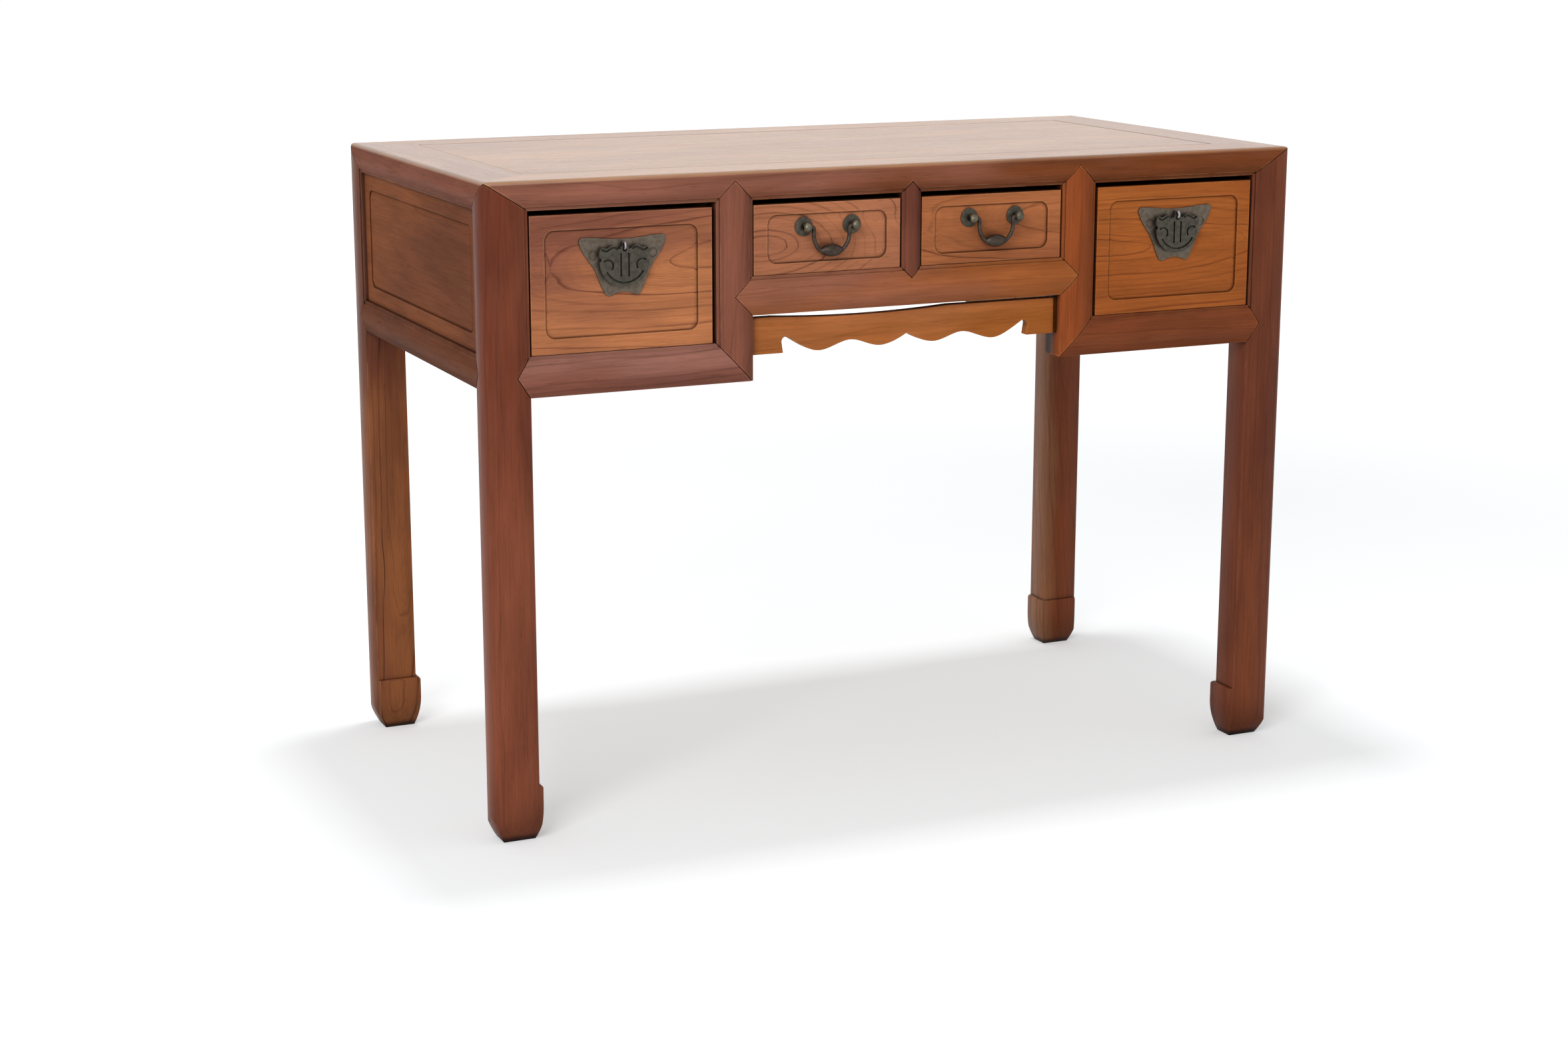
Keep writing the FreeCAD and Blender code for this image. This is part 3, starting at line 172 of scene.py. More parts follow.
# Bulge of a face: its slope at the edges, in the two directions across the grain
FLAT = (0.0, 0.0)
ROUND = (1.0, 1.0)
ROUND_LEG = (0.4, 0.4)
ROUND_FRONT = (0.0, 1.0)

# Camera
CAMERA_PLACE = (-1.5618, -3.3439, 1.1644)
CAMERA_TURN = 24.31
CAMERA_DOWN = 13.14
CAMERA_LENS = 61.94
SENSOR_WIDTH = 36.0

# World and floor look white: the world lights the desk with less, and the floor's glow grows with distance
WHITE = (1.0, 1.0, 1.0, 1.0)
WORLD_LIGHT = 0.50
FLOOR_SIZE = 40.0
FLOOR_COLOUR = (0.855, 0.88, 0.893, 1.0)
FLOOR_ROUGHNESS = 0.9
NEAR_GLOW = 0.285
FAR_GLOW = 0.72
NEAR_FLOOR = 1.7
FAR_FLOOR = 4.2

# Lamps: place, target, size and power
KEY_PLACE = (0.06, 0.42, 3.6)
KEY_TARGET = (0.06, 0.42, 0.0)
KEY_SIZE = 0.55
KEY_POWER = 44.0
FILL_PLACE = (-3.2, -3.4, 3.0)
FILL_TARGET = (0.0, 0.0, 0.5)
FILL_SIZE = 2.4
FILL_POWER = 110.0


# Short ways to add materials and shader nodes

def colour(red, green, blue):
    """Linear colour of a colour as it looks on a screen."""
    def linear(value):
        value = value / 255
        return value / 12.92 if value <= 0.04045 else ((value + 0.055) / 1.055) ** 2.4
    return (linear(red), linear(green), linear(blue), 1.0)


def new_material(name):
    """A new material, its node tree and its shader."""
    material = bpy.data.materials.new(name)
    material.use_nodes = True
    tree = material.node_tree
    return material, tree, tree.nodes["Principled BSDF"]


def add_node(tree, kind, inputs=None, **settings):
    """Add a shader node; an input is a value or another node's socket."""
    node = tree.nodes.new("ShaderNode" + kind)
    for name, value in settings.items():
        setattr(node, name, value)
    for place, value in (inputs or {}).items():
        if isinstance(value, bpy.types.NodeSocket):
            tree.links.new(value, node.inputs[place])
        else:
            node.inputs[place].default_value = value
    return node


def calculate(tree, operation, *values):
    """Number made from numbers."""
    return add_node(tree, "Math", dict(enumerate(values)), operation=operation).outputs[0]


def calculate_vector(tree, operation, *values):
    """Vector made from vectors."""
    return add_node(tree, "VectorMath", dict(enumerate(values)), operation=operation).outputs["Vector"]


def measure(tree, operation, *values):
    """Number made from vectors."""
    return add_node(tree, "VectorMath", dict(enumerate(values)), operation=operation).outputs["Value"]


def reorder(tree, vector, order):
    """Vector with its axes in another order."""
    parts = add_node(tree, "SeparateXYZ", {0: vector}).outputs
    inputs = {index: parts[axis] for index, axis in enumerate(order)}
    return add_node(tree, "CombineXYZ", inputs).outputs[0]


def ramp(tree, value, low, high, start=0.0, end=1.0):
    """Smooth change from start to end while value goes from low to high."""
    inputs = {"Value": value, "From Min": low, "From Max": high, "To Min": start, "To Max": end}
    return add_node(tree, "MapRange", inputs, interpolation_type="SMOOTHSTEP").outputs["Result"]


def noise(tree, place, waves, detail=2.0, output="Fac"):
    """Noise with this many waves per metre along each axis."""
    stretched = calculate_vector(tree, "MULTIPLY", place, waves)
    inputs = {"Vector": stretched, "Scale": 1.0, "Detail": detail, "Roughness": NOISE_ROUGHNESS}
    return add_node(tree, "TexNoise", inputs).outputs[output]


def mix_colour(tree, share, first, second, blend="MIX"):
    """Colour between two colours, or their product where blend says so."""
    inputs = {0: share, 6: first, 7: second}
    return add_node(tree, "Mix", inputs, data_type="RGBA", blend_type=blend).outputs[2]


def edges_and_corners(tree, edge_reach, corner_reach):
    """How flat the surface is, and how open the space is, within these reaches; 1 is most."""
    rounded = add_node(tree, "Bevel", {"Radius": edge_reach}, samples=4).outputs["Normal"]
    normal = add_node(tree, "NewGeometry").outputs["Normal"]
    openness = add_node(tree, "AmbientOcclusion", {"Distance": corner_reach}, samples=8).outputs["AO"]
    return measure(tree, "DOT_PRODUCT", rounded, normal), openness


# Wood: rings around a tilted heart line, with fibres, pores, worn edges with painted highlights, and dirt
# and painted shade in the corners

def heart_offset(group, source, local):
    """Vector across the grain from the heart line to a place, bent by slow noise."""
    along = add_node(group, "SeparateXYZ", {0: local}).outputs["X"]
    lean = add_node(group, "VectorMath", {0: source["Tilt"], "Scale": along}, operation="SCALE")
    offset = calculate_vector(group, "SUBTRACT", local, source["Heart"])
    offset = calculate_vector(group, "SUBTRACT", offset, lean.outputs["Vector"])
    sway = noise(group, source["Place"], SWAY_WAVES, output="Color")
    sway = calculate_vector(group, "SUBTRACT", sway, NOISE_MIDDLE)
    sway = calculate_vector(group, "MULTIPLY", sway, (0.0, SWAY, SWAY))
    offset = calculate_vector(group, "ADD", offset, sway)
    return calculate_vector(group, "MULTIPLY", offset, ACROSS)


def surface_growth(group, source, offset):
    """How fast the distance from the heart line grows along the surface, but not below LEAST_GROWTH."""
    away = calculate_vector(group, "NORMALIZE", offset)
    slope = measure(group, "DOT_PRODUCT", source["Tilt"], away)
    slope = add_node(group, "CombineXYZ", {"X": slope}).outputs["Vector"]
    growth = calculate_vector(group, "SUBTRACT", away, slope)
    growth = calculate_vector(group, "CROSS_PRODUCT", growth, source["Facing"])
    return calculate(group, "MAXIMUM", measure(group, "LENGTH", growth), LEAST_GROWTH)


def ring_lines(group, source, local, ripple):
    """Strength of the dark lines, and how far across its ring a place is, from 0 to 1."""
    offset = heart_offset(group, source, local)
    length = calculate(group, "MULTIPLY_ADD", ripple, RIPPLE, measure(group, "LENGTH", offset))
    inputs = {"W": length, "Scale": UNEVEN_WAVES, "Detail": 1.0}
    uneven = add_node(group, "TexNoise", inputs, noise_dimensions="1D").outputs["Fac"]
    ring = calculate(group, "DIVIDE", length, source["Spacing"])
    ring = calculate(group, "MULTIPLY_ADD", uneven, UNEVEN, ring)
    part = calculate(group, "FRACT", ring)

    # A dark line of its own strength ends each ring, and stays narrow where the rings spread on the surface
    number = calculate(group, "FLOOR", ring)
    strength = add_node(group, "TexWhiteNoise", {"W": number}, noise_dimensions="1D").outputs["Value"]
    width = calculate(group, "DIVIDE", source["Spacing"], surface_growth(group, source, offset))
    before = calculate(group, "MULTIPLY", calculate(group, "SUBTRACT", 1.0, part), width)
    after = calculate(group, "MULTIPLY", part, width)
    late = ramp(group, before, LATE_START, LATE_FULL)
    line = calculate(group, "MULTIPLY", late, ramp(group, strength, *STRENGTH_RANGE, start=WEAK_STRENGTH))
    line = calculate(group, "MULTIPLY", line, ramp(group, before, 0.0, SOFT_END, start=END_STRENGTH))
    line = calculate(group, "ADD", line, ramp(group, after, SOFT_START, 0.0, end=START_STRENGTH))

    # The lines fade in places, and fine rings fill the space between them
    fading = noise(group, source["Place"], FADING_WAVES)
    line = calculate(group, "MULTIPLY", line, ramp(group, fading, *FADING_RANGE, start=FADED_STRENGTH))
    fine = calculate(group, "FRACT", calculate(group, "MULTIPLY", ring, FINE_RINGS))
    fine = calculate(group, "MULTIPLY", ramp(group, fine, *FINE_RISE), ramp(group, fine, *FINE_DROP))
    return calculate(group, "MULTIPLY_ADD", fine, FINE_STRENGTH, line), part


def wear_highlight_dirt_and_shade(group, source):
    """Share of wear and painted highlight on convex edges, and brightness left by dirt and painted shade in
    joints and corners, and by darkening towards the floor.
    """
    flatness, openness = edges_and_corners(group, WOOD_WEAR_AND_HIGHLIGHT_REACH, WOOD_CORNER)
    # Bright edges: wear, and a painted highlight along the convex edges
    bright_edges = ramp(group, flatness, *WOOD_BEND)
    bright_edges = calculate(group, "MULTIPLY", bright_edges, ramp(group, openness, *WOOD_EXPOSED))
    scuff = noise(group, source["Place"], SCUFF_WAVES, detail=3.0)
    bright_edges = calculate(group, "MULTIPLY", bright_edges, ramp(group, scuff, *SCUFF_RANGE))
    bright_edges = calculate(group, "MULTIPLY", bright_edges, source["Wear And Highlight"])
    position = add_node(group, "NewGeometry").outputs["Position"]
    height = add_node(group, "SeparateXYZ", {0: position}).outputs["Z"]
    # Darker where the space is closed, as dirt and painted shade, and darker towards the floor
    dirt_and_painted_shade = ramp(group, openness, *WOOD_DIRT_AND_SHADE, start=WOOD_CORNER_SHADE)
    dirt_and_painted_shade = calculate(group, "MULTIPLY", dirt_and_painted_shade, ramp(group, height, 0.0, FOOT_DARK_HEIGHT, start=FOOT_SHADE))
    dirt_and_painted_shade = calculate(group, "MULTIPLY", dirt_and_painted_shade, ramp(group, height, 0.0, SOLE_DARK_HEIGHT, start=SOLE_SHADE))
    return bright_edges, dirt_and_painted_shade


def wood_group():
    """Shader group; its axes have X along the grain, and Middle is the middle of the piece."""
    group = bpy.data.node_groups.new("wood_grain", "ShaderNodeTree")
    sockets = {
        "Vector": ("Place", "Facing", "Middle", "Heart", "Tilt", "Drift"),
        "Float": ("Spacing", "Line", "Wear And Highlight"),
        "Color": ("Light", "Dark", "Patch", "Worn And Highlit"),
    }
    for kind, names in sockets.items():
        for name in names:
            group.interface.new_socket(name, in_out="INPUT", socket_type="NodeSocket" + kind)
    for name, kind in (("Color", "Color"), ("Roughness", "Float"), ("Height", "Float")):
        group.interface.new_socket(name, in_out="OUTPUT", socket_type="NodeSocket" + kind)
    source = group.nodes.new("NodeGroupInput").outputs
    result = group.nodes.new("NodeGroupOutput").inputs

    # Rings, fibres, and pores that are fewer towards the end of a ring
    place = source["Place"]
    local = calculate_vector(group, "SUBTRACT", place, source["Middle"])
    ripple = noise(group, place, RIPPLE_WAVES)
    line, part = ring_lines(group, source, local, ripple)
    fibre = noise(group, place, FIBRE_WAVES, detail=3.0)
    pore = ramp(group, noise(group, place, PORE_WAVES, detail=1.0), *PORE_RANGE)
    pore = calculate(group, "MULTIPLY", pore, ramp(group, part, *PORE_THINNING, 1.0, LATE_PORES))

    # Colour: broad patches that drift across the piece, painting shade on the front stiles and sheen on the
    # back right leg and front left rail, dark lines, shade of the grain, worn edges with painted
    # highlights, and dirt with painted shade
    patch = noise(group, place, PATCH_WAVES, detail=3.0)
    patch = calculate(group, "ADD", patch, measure(group, "DOT_PRODUCT", local, source["Drift"]))
    wood = mix_colour(group, ramp(group, patch, *PATCH_RANGE), source["Light"], source["Patch"])
    wood = mix_colour(group, calculate(group, "MULTIPLY", line, source["Line"]), wood, source["Dark"])
    mottle = noise(group, place, MOTTLE_WAVES, detail=3.0)
    shade = ramp(group, fibre, *FIBRE_RANGE, *FIBRE_SHADE)
    shade = calculate(group, "MULTIPLY", shade, ramp(group, mottle, *MOTTLE_RANGE, *MOTTLE_SHADE))
    shade = calculate(group, "MULTIPLY", shade, calculate(group, "MULTIPLY_ADD", pore, -PORE_SHADE, 1.0))
    bright_edges, dirt_and_painted_shade = wear_highlight_dirt_and_shade(group, source)
    wood = mix_colour(group, 1.0, wood, shade, "MULTIPLY")
    wood = mix_colour(group, bright_edges, wood, source["Worn And Highlit"])
    group.links.new(mix_colour(group, 1.0, wood, dirt_and_painted_shade, "MULTIPLY"), result["Color"])

    # Roughness and relief
    rough = calculate(group, "MULTIPLY_ADD", ripple, RIPPLE_ROUGHNESS, WOOD_ROUGHNESS)
    rough = calculate(group, "MULTIPLY_ADD", pore, PORE_ROUGHNESS, rough)
    group.links.new(rough, result["Roughness"])
    relief = calculate(group, "MULTIPLY", pore, PORE_RELIEF)
    relief = calculate(group, "MULTIPLY_ADD", fibre, FIBRE_RELIEF, relief)
    relief = calculate(group, "MULTIPLY_ADD", line, LINE_RELIEF, relief)
    group.links.new(relief, result["Height"])
    return group


GRAIN = wood_group()
WOOD_AXES = {"X": "XYZ", "Y": "YXZ", "Z": "ZXY"}


def wood_material(node, wood, grain, heart, tilt, spacing, line, drift=(0.0, 0.0, 0.0)):
    """Wood of one piece: grain names its axis, and heart is the heart line's place from the middle."""
    material, tree, shader = new_material("wood_" + node)
    low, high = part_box(node)
    order = ["XYZ".index(axis) for axis in WOOD_AXES[grain]]
    middle = [(low + high)[axis] / 2 for axis in order]
    half = [(high - low)[axis] / 2 for axis in order]
    place = reorder(tree, add_node(tree, "TexCoord").outputs["Object"], order)
    normal = add_node(tree, "NewGeometry").outputs["Normal"]
    inputs = {
        "Place": place, "Facing": reorder(tree, normal, order), "Middle": middle,
        "Heart": (0.0, *heart), "Tilt": (0.0, *tilt), "Drift": drift,
        "Spacing": spacing, "Line": line, "Wear And Highlight": wood["Wear And Highlight"],
    }
    inputs.update({name: colour(*wood[name]) for name in ("Light", "Dark", "Patch", "Worn And Highlit")})
    look = add_node(tree, "Group", inputs, node_tree=GRAIN).outputs
    tree.links.new(look["Color"], shader.inputs["Base Color"])
    tree.links.new(look["Roughness"], shader.inputs["Roughness"])
    shader.inputs["Specular IOR Level"].default_value = wood["Gloss"]
    if wood["Polish"]:
        fade_sheen_and_polish_top(tree, shader, look, normal, wood)
    inputs = {"Strength": GRAIN_STRENGTH, "Distance": GRAIN_HEIGHT, "Height": look["Height"]}
    bump = add_node(tree, "Bump", inputs)
    if wood["Bulge"] != FLAT:
        tree.links.new(crown(tree, place, middle, half, wood["Bulge"]), bump.inputs["Normal"])
    tree.links.new(bump.outputs["Normal"], shader.inputs["Normal"])
    return material


def crown(tree, place, middle, half, slope):
    """Normal of faces that bulge across the grain, with this slope where they end."""
    local = calculate_vector(tree, "SUBTRACT", place, middle)
    square = calculate_vector(tree, "MULTIPLY", local, local)
    fall = (0.0, -slope[0] / (2 * half[1]), -slope[1] / (2 * half[2]))
    height = measure(tree, "DOT_PRODUCT", square, fall)
    return add_node(tree, "Bump", {"Strength": 1.0, "Distance": 1.0, "Height": height}).outputs["Normal"]


def fade_sheen_and_polish_top(tree, shader, look, normal, wood):
    """Make the faces that look up paler, from fading and a painted sheen, and smoother than the other
    faces.
    """
    upward = add_node(tree, "SeparateXYZ", {0: normal}).outputs["Z"]
    share = ramp(tree, upward, *FADE_AND_SHEEN_RISE)
    # Faded colour and a painted sheen on faces that look up
    faded_and_sheen = mix_colour(tree, 1.0, look["Color"], FADED_AND_SHEEN, "MULTIPLY")
    tree.links.new(mix_colour(tree, share, look["Color"], faded_and_sheen), shader.inputs["Base Color"])
    gloss = ramp(tree, upward, *POLISH_RISE, wood["Gloss"], wood["Polish"])
    tree.links.new(gloss, shader.inputs["Specular IOR Level"])
    smooth = calculate(tree, "MULTIPLY", look["Roughness"], POLISH_ROUGHNESS)
    rough = add_node(tree, "Mix", {0: share, 2: look["Roughness"], 3: smooth}).outputs[0]
    tree.links.new(rough, shader.inputs["Roughness"])


def tone(light, patch, dark, worn_and_highlit, bulge=FLAT, bright_edges=0.6, gloss=0.07, polish=0.0):
    """One kind of wood: its colours, bulge, worn edges with painted highlights and gloss, and the gloss of
    faces that look up.
    """
    return {
        "Light": light, "Patch": patch, "Dark": dark, "Worn And Highlit": worn_and_highlit,
        "Bulge": bulge, "Wear And Highlight": bright_edges, "Gloss": gloss, "Polish": polish,
    }


# Metal: patinated bronze and a worn steel staple

def metal_material(name, base, dull, bright, roughness):
    """Metal with patches of dull patina and bright worn edges."""
    material, tree, shader = new_material(name)
    place = add_node(tree, "TexCoord").outputs["Object"]
    patina = noise(tree, place, PATINA_WAVES, detail=4.0)
    grit = noise(tree, place, GRIT_WAVES)
    flatness, openness = edges_and_corners(tree, METAL_WORN, METAL_CORNER)
    bright_edges = ramp(tree, flatness, *METAL_BEND)
    bright_edges = calculate(tree, "MULTIPLY", bright_edges, ramp(tree, openness, *METAL_EXPOSED))
    metal = mix_colour(tree, ramp(tree, patina, *PATINA_RANGE), colour(*base), colour(*dull))
    metal = mix_colour(tree, calculate(tree, "MULTIPLY", bright_edges, METAL_WEAR), metal, colour(*bright))
    # Darker in grooves and around the pendant: dirt and painted shade
    dirt_and_painted_shade = ramp(tree, openness, *METAL_DIRT_AND_SHADE, start=METAL_CORNER_SHADE)
    tree.links.new(mix_colour(tree, 1.0, metal, dirt_and_painted_shade, "MULTIPLY"), shader.inputs["Base Color"])
    rough = calculate(tree, "MULTIPLY_ADD", patina, PATINA_ROUGHNESS, roughness)
    tree.links.new(rough, shader.inputs["Roughness"])
    shader.inputs["Metallic"].default_value = METALLIC
    height = calculate(tree, "MULTIPLY_ADD", grit, GRIT_RELIEF, patina)
    bump = add_node(tree, "Bump", {"Strength": METAL_STRENGTH, "Distance": METAL_HEIGHT, "Height": height})
    tree.links.new(bump.outputs["Normal"], shader.inputs["Normal"])
    return material


# Softened edges

def smoothing_group():
    """Geometry nodes that shade smoothly and keep edges sharp where faces meet at a large angle."""
    group = bpy.data.node_groups.new("smooth_by_angle", "GeometryNodeTree")
    for in_out in ("INPUT", "OUTPUT"):
        group.interface.new_socket("Mesh", in_out=in_out, socket_type="NodeSocketGeometry")
    source = group.nodes.new("NodeGroupInput")
    result = group.nodes.new("NodeGroupOutput")
    drop = group.nodes.new("GeometryNodeRemoveAttribute")
    drop.inputs["Name"].default_value = "custom_normal"
    faces = group.nodes.new("GeometryNodeSetShadeSmooth")
    edges = group.nodes.new("GeometryNodeSetShadeSmooth")
    edges.domain = "EDGE"
    edges.inputs["Shade Smooth"].default_value = False
    angle = group.nodes.new("GeometryNodeInputMeshEdgeAngle")
    sharp = group.nodes.new("FunctionNodeCompare")
    sharp.operation = "GREATER_THAN"
    sharp.inputs[1].default_value = SHARP_ANGLE
    group.links.new(angle.outputs["Unsigned Angle"], sharp.inputs[0])
    group.links.new(sharp.outputs[0], edges.inputs["Selection"])
    group.links.new(source.outputs[0], drop.inputs["Geometry"])
    group.links.new(drop.outputs["Geometry"], faces.inputs["Geometry"])
    group.links.new(faces.outputs["Geometry"], edges.inputs["Geometry"])
    group.links.new(edges.outputs["Geometry"], result.inputs[0])
    return group


SMOOTHING = smoothing_group()


def soften(piece, width):
    """Join the mesh's faces, round its sharp edges and shade it smoothly."""
    weld = piece.modifiers.new("weld", "WELD")
    weld.merge_threshold = WELD_GAP
    flat = piece.modifiers.new("flat", "DECIMATE")
    flat.decimate_type = "DISSOLVE"
    flat.angle_limit = FLAT_ANGLE
    bevel = piece.modifiers.new("bevel", "BEVEL")
    bevel.width = width
    bevel.segments = EDGE_SEGMENTS
    bevel.limit_method = "ANGLE"
    bevel.angle_limit = SHARP_ANGLE
    bevel.use_clamp_overlap = True
    smooth = piece.modifiers.new("smooth", "NODES")
    smooth.node_group = SMOOTHING
    normals = piece.modifiers.new("normals", "WEIGHTED_NORMAL")
    normals.keep_sharp = True


def dress(piece, material, width):
    """Give a piece its material and softened edges of this width."""
    piece.data.materials.clear()
    piece.data.materials.append(material)
    soften(piece, width)


# Tones of the wood: light, patches, dark lines and worn edges with painted highlights; the dark patches of
# the front stiles are painted shade

LEFT_LEG = tone((134, 73, 50), (106, 51, 33), (72, 34, 24), (176, 118, 84), ROUND_LEG, bright_edges=0.3, gloss=0.1)
RIGHT_LEG = tone((127, 68, 42), (105, 54, 36), (62, 28, 20), (158, 98, 68), ROUND_LEG, bright_edges=0.4, gloss=0.09)
GOLD_LEG = tone((150, 90, 52), (104, 56, 37), (40, 20, 13), (190, 128, 80), ROUND_LEG, bright_edges=0.4, gloss=0.12)
BROWN_LEG = tone((147, 96, 64), (121, 56, 18), (52, 26, 16), (176, 122, 84), ROUND_LEG, bright_edges=0.5, gloss=0.2)
TOP_FRAME = tone(
    (149, 94, 76), (124, 66, 34), (84, 42, 28), (190, 134, 96),
    ROUND_FRONT, bright_edges=0.7, gloss=0.05, polish=0.5)
END_TOP_FRAME = tone(
    (137, 84, 66), (123, 72, 55), (78, 42, 28), (180, 126, 90),
    ROUND_FRONT, gloss=0.01, polish=0.5)
PINK_FRAME = tone((157, 106, 92), (138, 84, 68), (88, 48, 40), (188, 132, 104), ROUND)
RIGHT_FRAME = tone((138, 75, 43), (127, 65, 37), (74, 32, 20), (180, 114, 68), ROUND)
RED_FRAME = tone((118, 67, 51), (104, 56, 42), (62, 28, 20), (158, 98, 68), ROUND)
END_FRAME = tone((108, 61, 39), (99, 55, 35), (62, 32, 22), (150, 98, 70), ROUND, gloss=0.01)
MIDDLE_FRAME = tone((156, 98, 76), (168, 95, 48), (100, 52, 32), (196, 132, 86), ROUND)
# The dark patch colours of the two front stiles are painted shade for their inner sides
AMBER_STILE = tone((149, 75, 36), (56, 42, 36), (88, 40, 22), (190, 118, 68), ROUND)
PINK_STILE = tone((138, 83, 65), (70, 46, 38), (90, 46, 34), (188, 130, 96), ROUND)
TOP = tone((145, 90, 68), (132, 78, 58), (100, 54, 40), (170, 112, 92), bright_edges=0.5, gloss=0.05, polish=0.5)
END = tone((135, 79, 49), (111, 64, 42), (78, 42, 28), (150, 100, 72), gloss=0.005)
LEFT_DRAWER = tone((194, 123, 79), (142, 86, 66), (94, 50, 40), (206, 144, 102))
RIGHT_DRAWER = tone((176, 99, 45), (164, 88, 39), (106, 50, 24), (200, 130, 72))
SHALLOW_LEFT = tone((188, 120, 82), (168, 106, 77), (92, 50, 36), (204, 144, 100))
SHALLOW_RIGHT = tone((185, 113, 69), (167, 99, 61), (90, 48, 30), (200, 138, 92))
APRON = tone((182, 110, 62), (160, 91, 38), (116, 62, 30), (204, 136, 80))
RAW = tone((176, 128, 88), (162, 116, 78), (126, 84, 54), (196, 152, 112), bright_edges=0.5, gloss=0.1)

# Each wooden piece: tone, grain, heart line from the middle of the piece across the grain,
# its tilt, ring spacing, strength of the dark lines and drift of the patches, which paints shade on the
# front stiles and sheen on the back right leg and the front left rail

WOOD = {
    "front_left_leg": (LEFT_LEG, "Z", (0.05, -0.09), (0.03, 0.02), 0.0070, 0.38, (0.5, -1.0, 0.0)),
    "front_right_leg": (RIGHT_LEG, "Z", (-0.07, -0.05), (-0.02, 0.04), 0.0065, 0.42, (0.0, -2.5, 0.0)),
    "back_left_leg": (GOLD_LEG, "Z", (0.02, -0.05), (0.05, 0.03), 0.0075, 0.9, (0.3, -2.0, 0.0)),
    # The drift makes the left and back faces of this leg pale: a painted sheen
    "back_right_leg": (BROWN_LEG, "Z", (0.03, -0.06), (-0.04, 0.05), 0.0070, 0.75, (0.2, 16.0, -16.0)),
    "top_front_rail": (TOP_FRAME, "X", (0.09, 0.06), (0.01, -0.01), 0.0070, 0.35, (0.45, 0.0, -5.0)),
    "top_back_rail": (TOP_FRAME, "X", (-0.09, 0.05), (0.01, 0.01), 0.0070, 0.35),
    "top_left_rail": (END_TOP_FRAME, "Y", (0.07, 0.08), (0.02, -0.01), 0.0070, 0.35),
    "top_right_rail": (END_TOP_FRAME, "Y", (-0.07, 0.08), (0.02, 0.01), 0.0070, 0.35),
    "top_panel": (TOP, "X", (0.05, -0.10), (0.02, 0.04), 0.0110, 0.5),
    # The drift lays the dark patch colour on the inner sides of the front stiles as painted shade
    "front_left_stile": (PINK_STILE, "Z", (0.08, 0.09), (0.04, 0.02), 0.0070, 0.35, (0.0, 0.0, 14.0)),
    "front_right_stile": (AMBER_STILE, "Z", (-0.08, 0.09), (0.05, 0.02), 0.0080, 0.35, (0.0, 0.0, 20.0)),
    # The drift makes the upper part of this rail paler: a painted sheen
    "front_left_rail": (PINK_FRAME, "X", (-0.012, -0.03), (0.03, 0.05), 0.0080, 0.55, (0.0, 0.0, -12.0)),
    "front_right_rail": (RIGHT_FRAME, "X", (0.07, -0.06), (0.01, 0.02), 0.0070, 0.35),
    "front_middle_rail": (MIDDLE_FRAME, "X", (0.09, -0.05), (0.02, 0.03), 0.0070, 0.35, (0.9, 0.0, -3.0)),
    "front_centre_stile": (RED_FRAME, "Z", (0.05, -0.05), (0.02, 0.02), 0.0060, 0.35),
    "apron": (APRON, "X", (0.12, 0.05), (0.02, 0.02), 0.0090, 0.30, (0.4, 0.0, -4.0)),
    "back_left_stile": (RED_FRAME, "Z", (0.08, 0.09), (0.04, 0.02), 0.0070, 0.35),
    "back_right_stile": (RED_FRAME, "Z", (-0.08, 0.09), (0.05, 0.02), 0.0070, 0.35),
    "back_left_rail": (RED_FRAME, "X", (0.07, -0.06), (0.01, 0.02), 0.0070, 0.35),
    "back_right_rail": (RED_FRAME, "X", (0.07, 0.06), (0.01, 0.02), 0.0070, 0.35),
    "back_middle_rail": (RED_FRAME, "X", (0.09, -0.05), (0.02, 0.03), 0.0070, 0.35),
    "back_panels": (END, "X", (-0.06, 0.03), (0.03, 0.05), 0.0110, 0.45),
    "left_end_rail": (END_FRAME, "Y", (0.07, -0.08), (0.02, 0.01), 0.0070, 0.35),
    "right_end_rail": (END_FRAME, "Y", (-0.07, -0.08), (0.02, 0.01), 0.0070, 0.35),
    "left_end_panel": (END, "Y", (0.06, 0.02), (0.03, 0.06), 0.0120, 0.35, (-0.5, 0.0, 0.0)),
    "right_end_panel": (END, "Y", (-0.06, 0.02), (0.03, -0.06), 0.0120, 0.35),
    "left_drawer_front": (LEFT_DRAWER, "X", (0.029, 0.022), (-0.15, 0.05), 0.0085, 0.85, (-1.2, 0.0, 2.2)),
    "right_drawer_front": (RIGHT_DRAWER, "X", (0.008, 0.004), (0.12, 0.00), 0.0065, 0.75),
    "centre_left_drawer_front": (SHALLOW_LEFT, "X", (0.030, -0.004), (0.45, 0.03), 0.0070, 0.85),
    "centre_right_drawer_front": (SHALLOW_RIGHT, "X", (0.020, 0.012), (-0.12, -0.05), 0.0090, 0.8),
}
for drawer in ("left", "right", "centre_left", "centre_right"):
    WOOD[drawer + "_drawer_sides"] = (RAW, "Y", (0.05, 0.06), (0.03, 0.04), 0.0080, 0.5)
    WOOD[drawer + "_drawer_back"] = (RAW, "X", (0.06, 0.03), (0.03, 0.04), 0.0080, 0.5)
    WOOD[drawer + "_drawer_bottom"] = (RAW, "Y", (0.02, -0.08), (0.04, 0.03), 0.0100, 0.5)
INSIDE = (
    "left_partition", "right_partition", "deep_drawer_runners", "shallow_drawer_runners", "top_battens",
)
for inside_piece in INSIDE:
    WOOD[inside_piece] = (RAW, "Y", (0.06, 0.05), (0.03, 0.03), 0.0080, 0.5)
for wooden_piece, wood_look in WOOD.items():
    edge = PANEL_EDGE if wooden_piece == "top_panel" else WOOD_EDGE
    dress(nodes[wooden_piece], wood_material(wooden_piece, *wood_look), edge)


# Pulls: colour, dull patina, bright edges and roughness of each metal

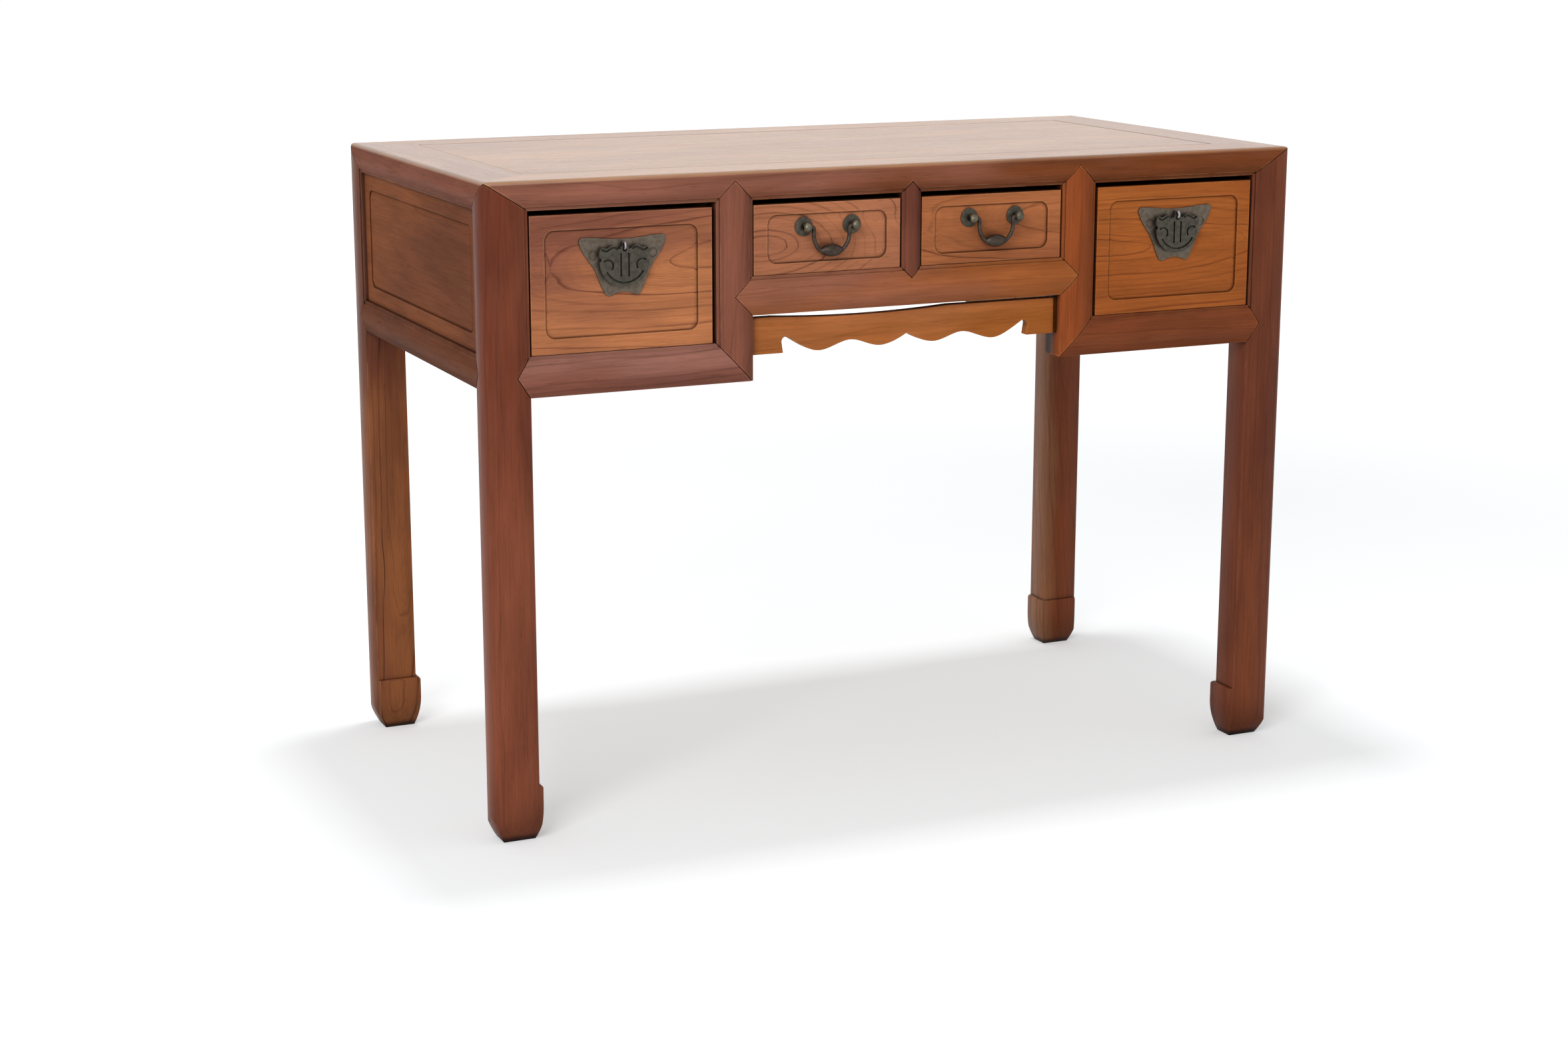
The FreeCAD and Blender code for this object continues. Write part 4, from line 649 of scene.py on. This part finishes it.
plate_bronze = metal_material("plate_bronze", (107, 95, 84), (93, 83, 71), (136, 124, 110), 0.38)
bronze = metal_material("bronze_patina", (80, 76, 67), (68, 64, 56), (118, 110, 98), 0.38)
dark_bronze = metal_material("dark_bronze", (74, 63, 55), (60, 51, 44), (124, 112, 96), 0.34)
worn_bronze = metal_material("worn_bronze", (112, 106, 88), (86, 81, 68), (150, 142, 122), 0.32)
steel = metal_material("worn_steel", (190, 182, 188), (150, 142, 146), (226, 220, 224), 0.20)
for side in ("left", "right"):
    dress(nodes[side + "_pull_plate"], plate_bronze, METAL_EDGE)
    dress(nodes[side + "_pull_pendant"], bronze, METAL_EDGE)
    dress(nodes[side + "_pull_staple"], steel, METAL_EDGE)
    dress(nodes["centre_" + side + "_rosettes"], bronze, METAL_EDGE)
    dress(nodes["centre_" + side + "_posts"], worn_bronze, METAL_EDGE)
    dress(nodes["centre_" + side + "_bail"], dark_bronze, METAL_EDGE)


# Floor, world and light

def seen_share(tree):
    """1 for rays with which the eye, metal or glass sees the background, and 0 for rays of its light."""
    path = add_node(tree, "LightPath").outputs
    share = calculate(tree, "MAXIMUM", path["Is Camera Ray"], path["Is Glossy Ray"])
    return calculate(tree, "MAXIMUM", share, path["Is Transmission Ray"])


def white_floor():
    """Pale floor that keeps the desk's shadow and turns white away from the desk."""
    half = FLOOR_SIZE / 2
    corners = [(-half, -half, 0), (half, -half, 0), (half, half, 0), (-half, half, 0)]
    mesh = bpy.data.meshes.new("floor")
    mesh.from_pydata(corners, [], [(0, 1, 2, 3)])
    floor = bpy.data.objects.new("floor", mesh)
    bpy.context.scene.collection.objects.link(floor)
    material, tree, shader = new_material("white_floor")
    shader.inputs["Base Color"].default_value = FLOOR_COLOUR
    shader.inputs["Roughness"].default_value = FLOOR_ROUGHNESS
    shader.inputs["Specular IOR Level"].default_value = 0.0
    shader.inputs["Emission Color"].default_value = WHITE
    distance = measure(tree, "LENGTH", add_node(tree, "TexCoord").outputs["Object"])
    glow = ramp(tree, distance, NEAR_FLOOR, FAR_FLOOR, NEAR_GLOW, FAR_GLOW)
    tree.links.new(calculate(tree, "MULTIPLY", seen_share(tree), glow), shader.inputs["Emission Strength"])
    mesh.materials.append(material)


def white_world():
    """World that is white to the eye and lights the desk with WORLD_LIGHT."""
    world = bpy.data.worlds.new("studio")
    bpy.context.scene.world = world
    world.use_nodes = True
    tree = world.node_tree
    background = tree.nodes["Background"]
    background.inputs["Color"].default_value = WHITE
    strength = calculate(tree, "MULTIPLY_ADD", seen_share(tree), 1.0 - WORLD_LIGHT, WORLD_LIGHT)
    tree.links.new(strength, background.inputs["Strength"])


def area_light(name, place, target, size, power):
    """Square lamp that shines from place towards target."""
    lamp = bpy.data.lights.new(name, "AREA")
    lamp.size = size
    lamp.energy = power
    light = bpy.data.objects.new(name, lamp)
    bpy.context.scene.collection.objects.link(light)
    light.location = place
    light.rotation_euler = (Vector(target) - Vector(place)).to_track_quat("-Z", "Y").to_euler()


white_floor()
white_world()
area_light("key", KEY_PLACE, KEY_TARGET, KEY_SIZE, KEY_POWER)
area_light("fill", FILL_PLACE, FILL_TARGET, FILL_SIZE, FILL_POWER)


# Camera

camera = bpy.data.objects.new("camera", bpy.data.cameras.new("camera"))
bpy.context.scene.collection.objects.link(camera)
camera.data.sensor_fit = "HORIZONTAL"
camera.data.sensor_width = SENSOR_WIDTH
camera.data.lens = CAMERA_LENS
camera.location = CAMERA_PLACE
camera.rotation_euler = (math.radians(90 - CAMERA_DOWN), 0.0, math.radians(-CAMERA_TURN))
bpy.context.scene.camera = camera
bpy.context.scene.view_settings.view_transform = "Standard"
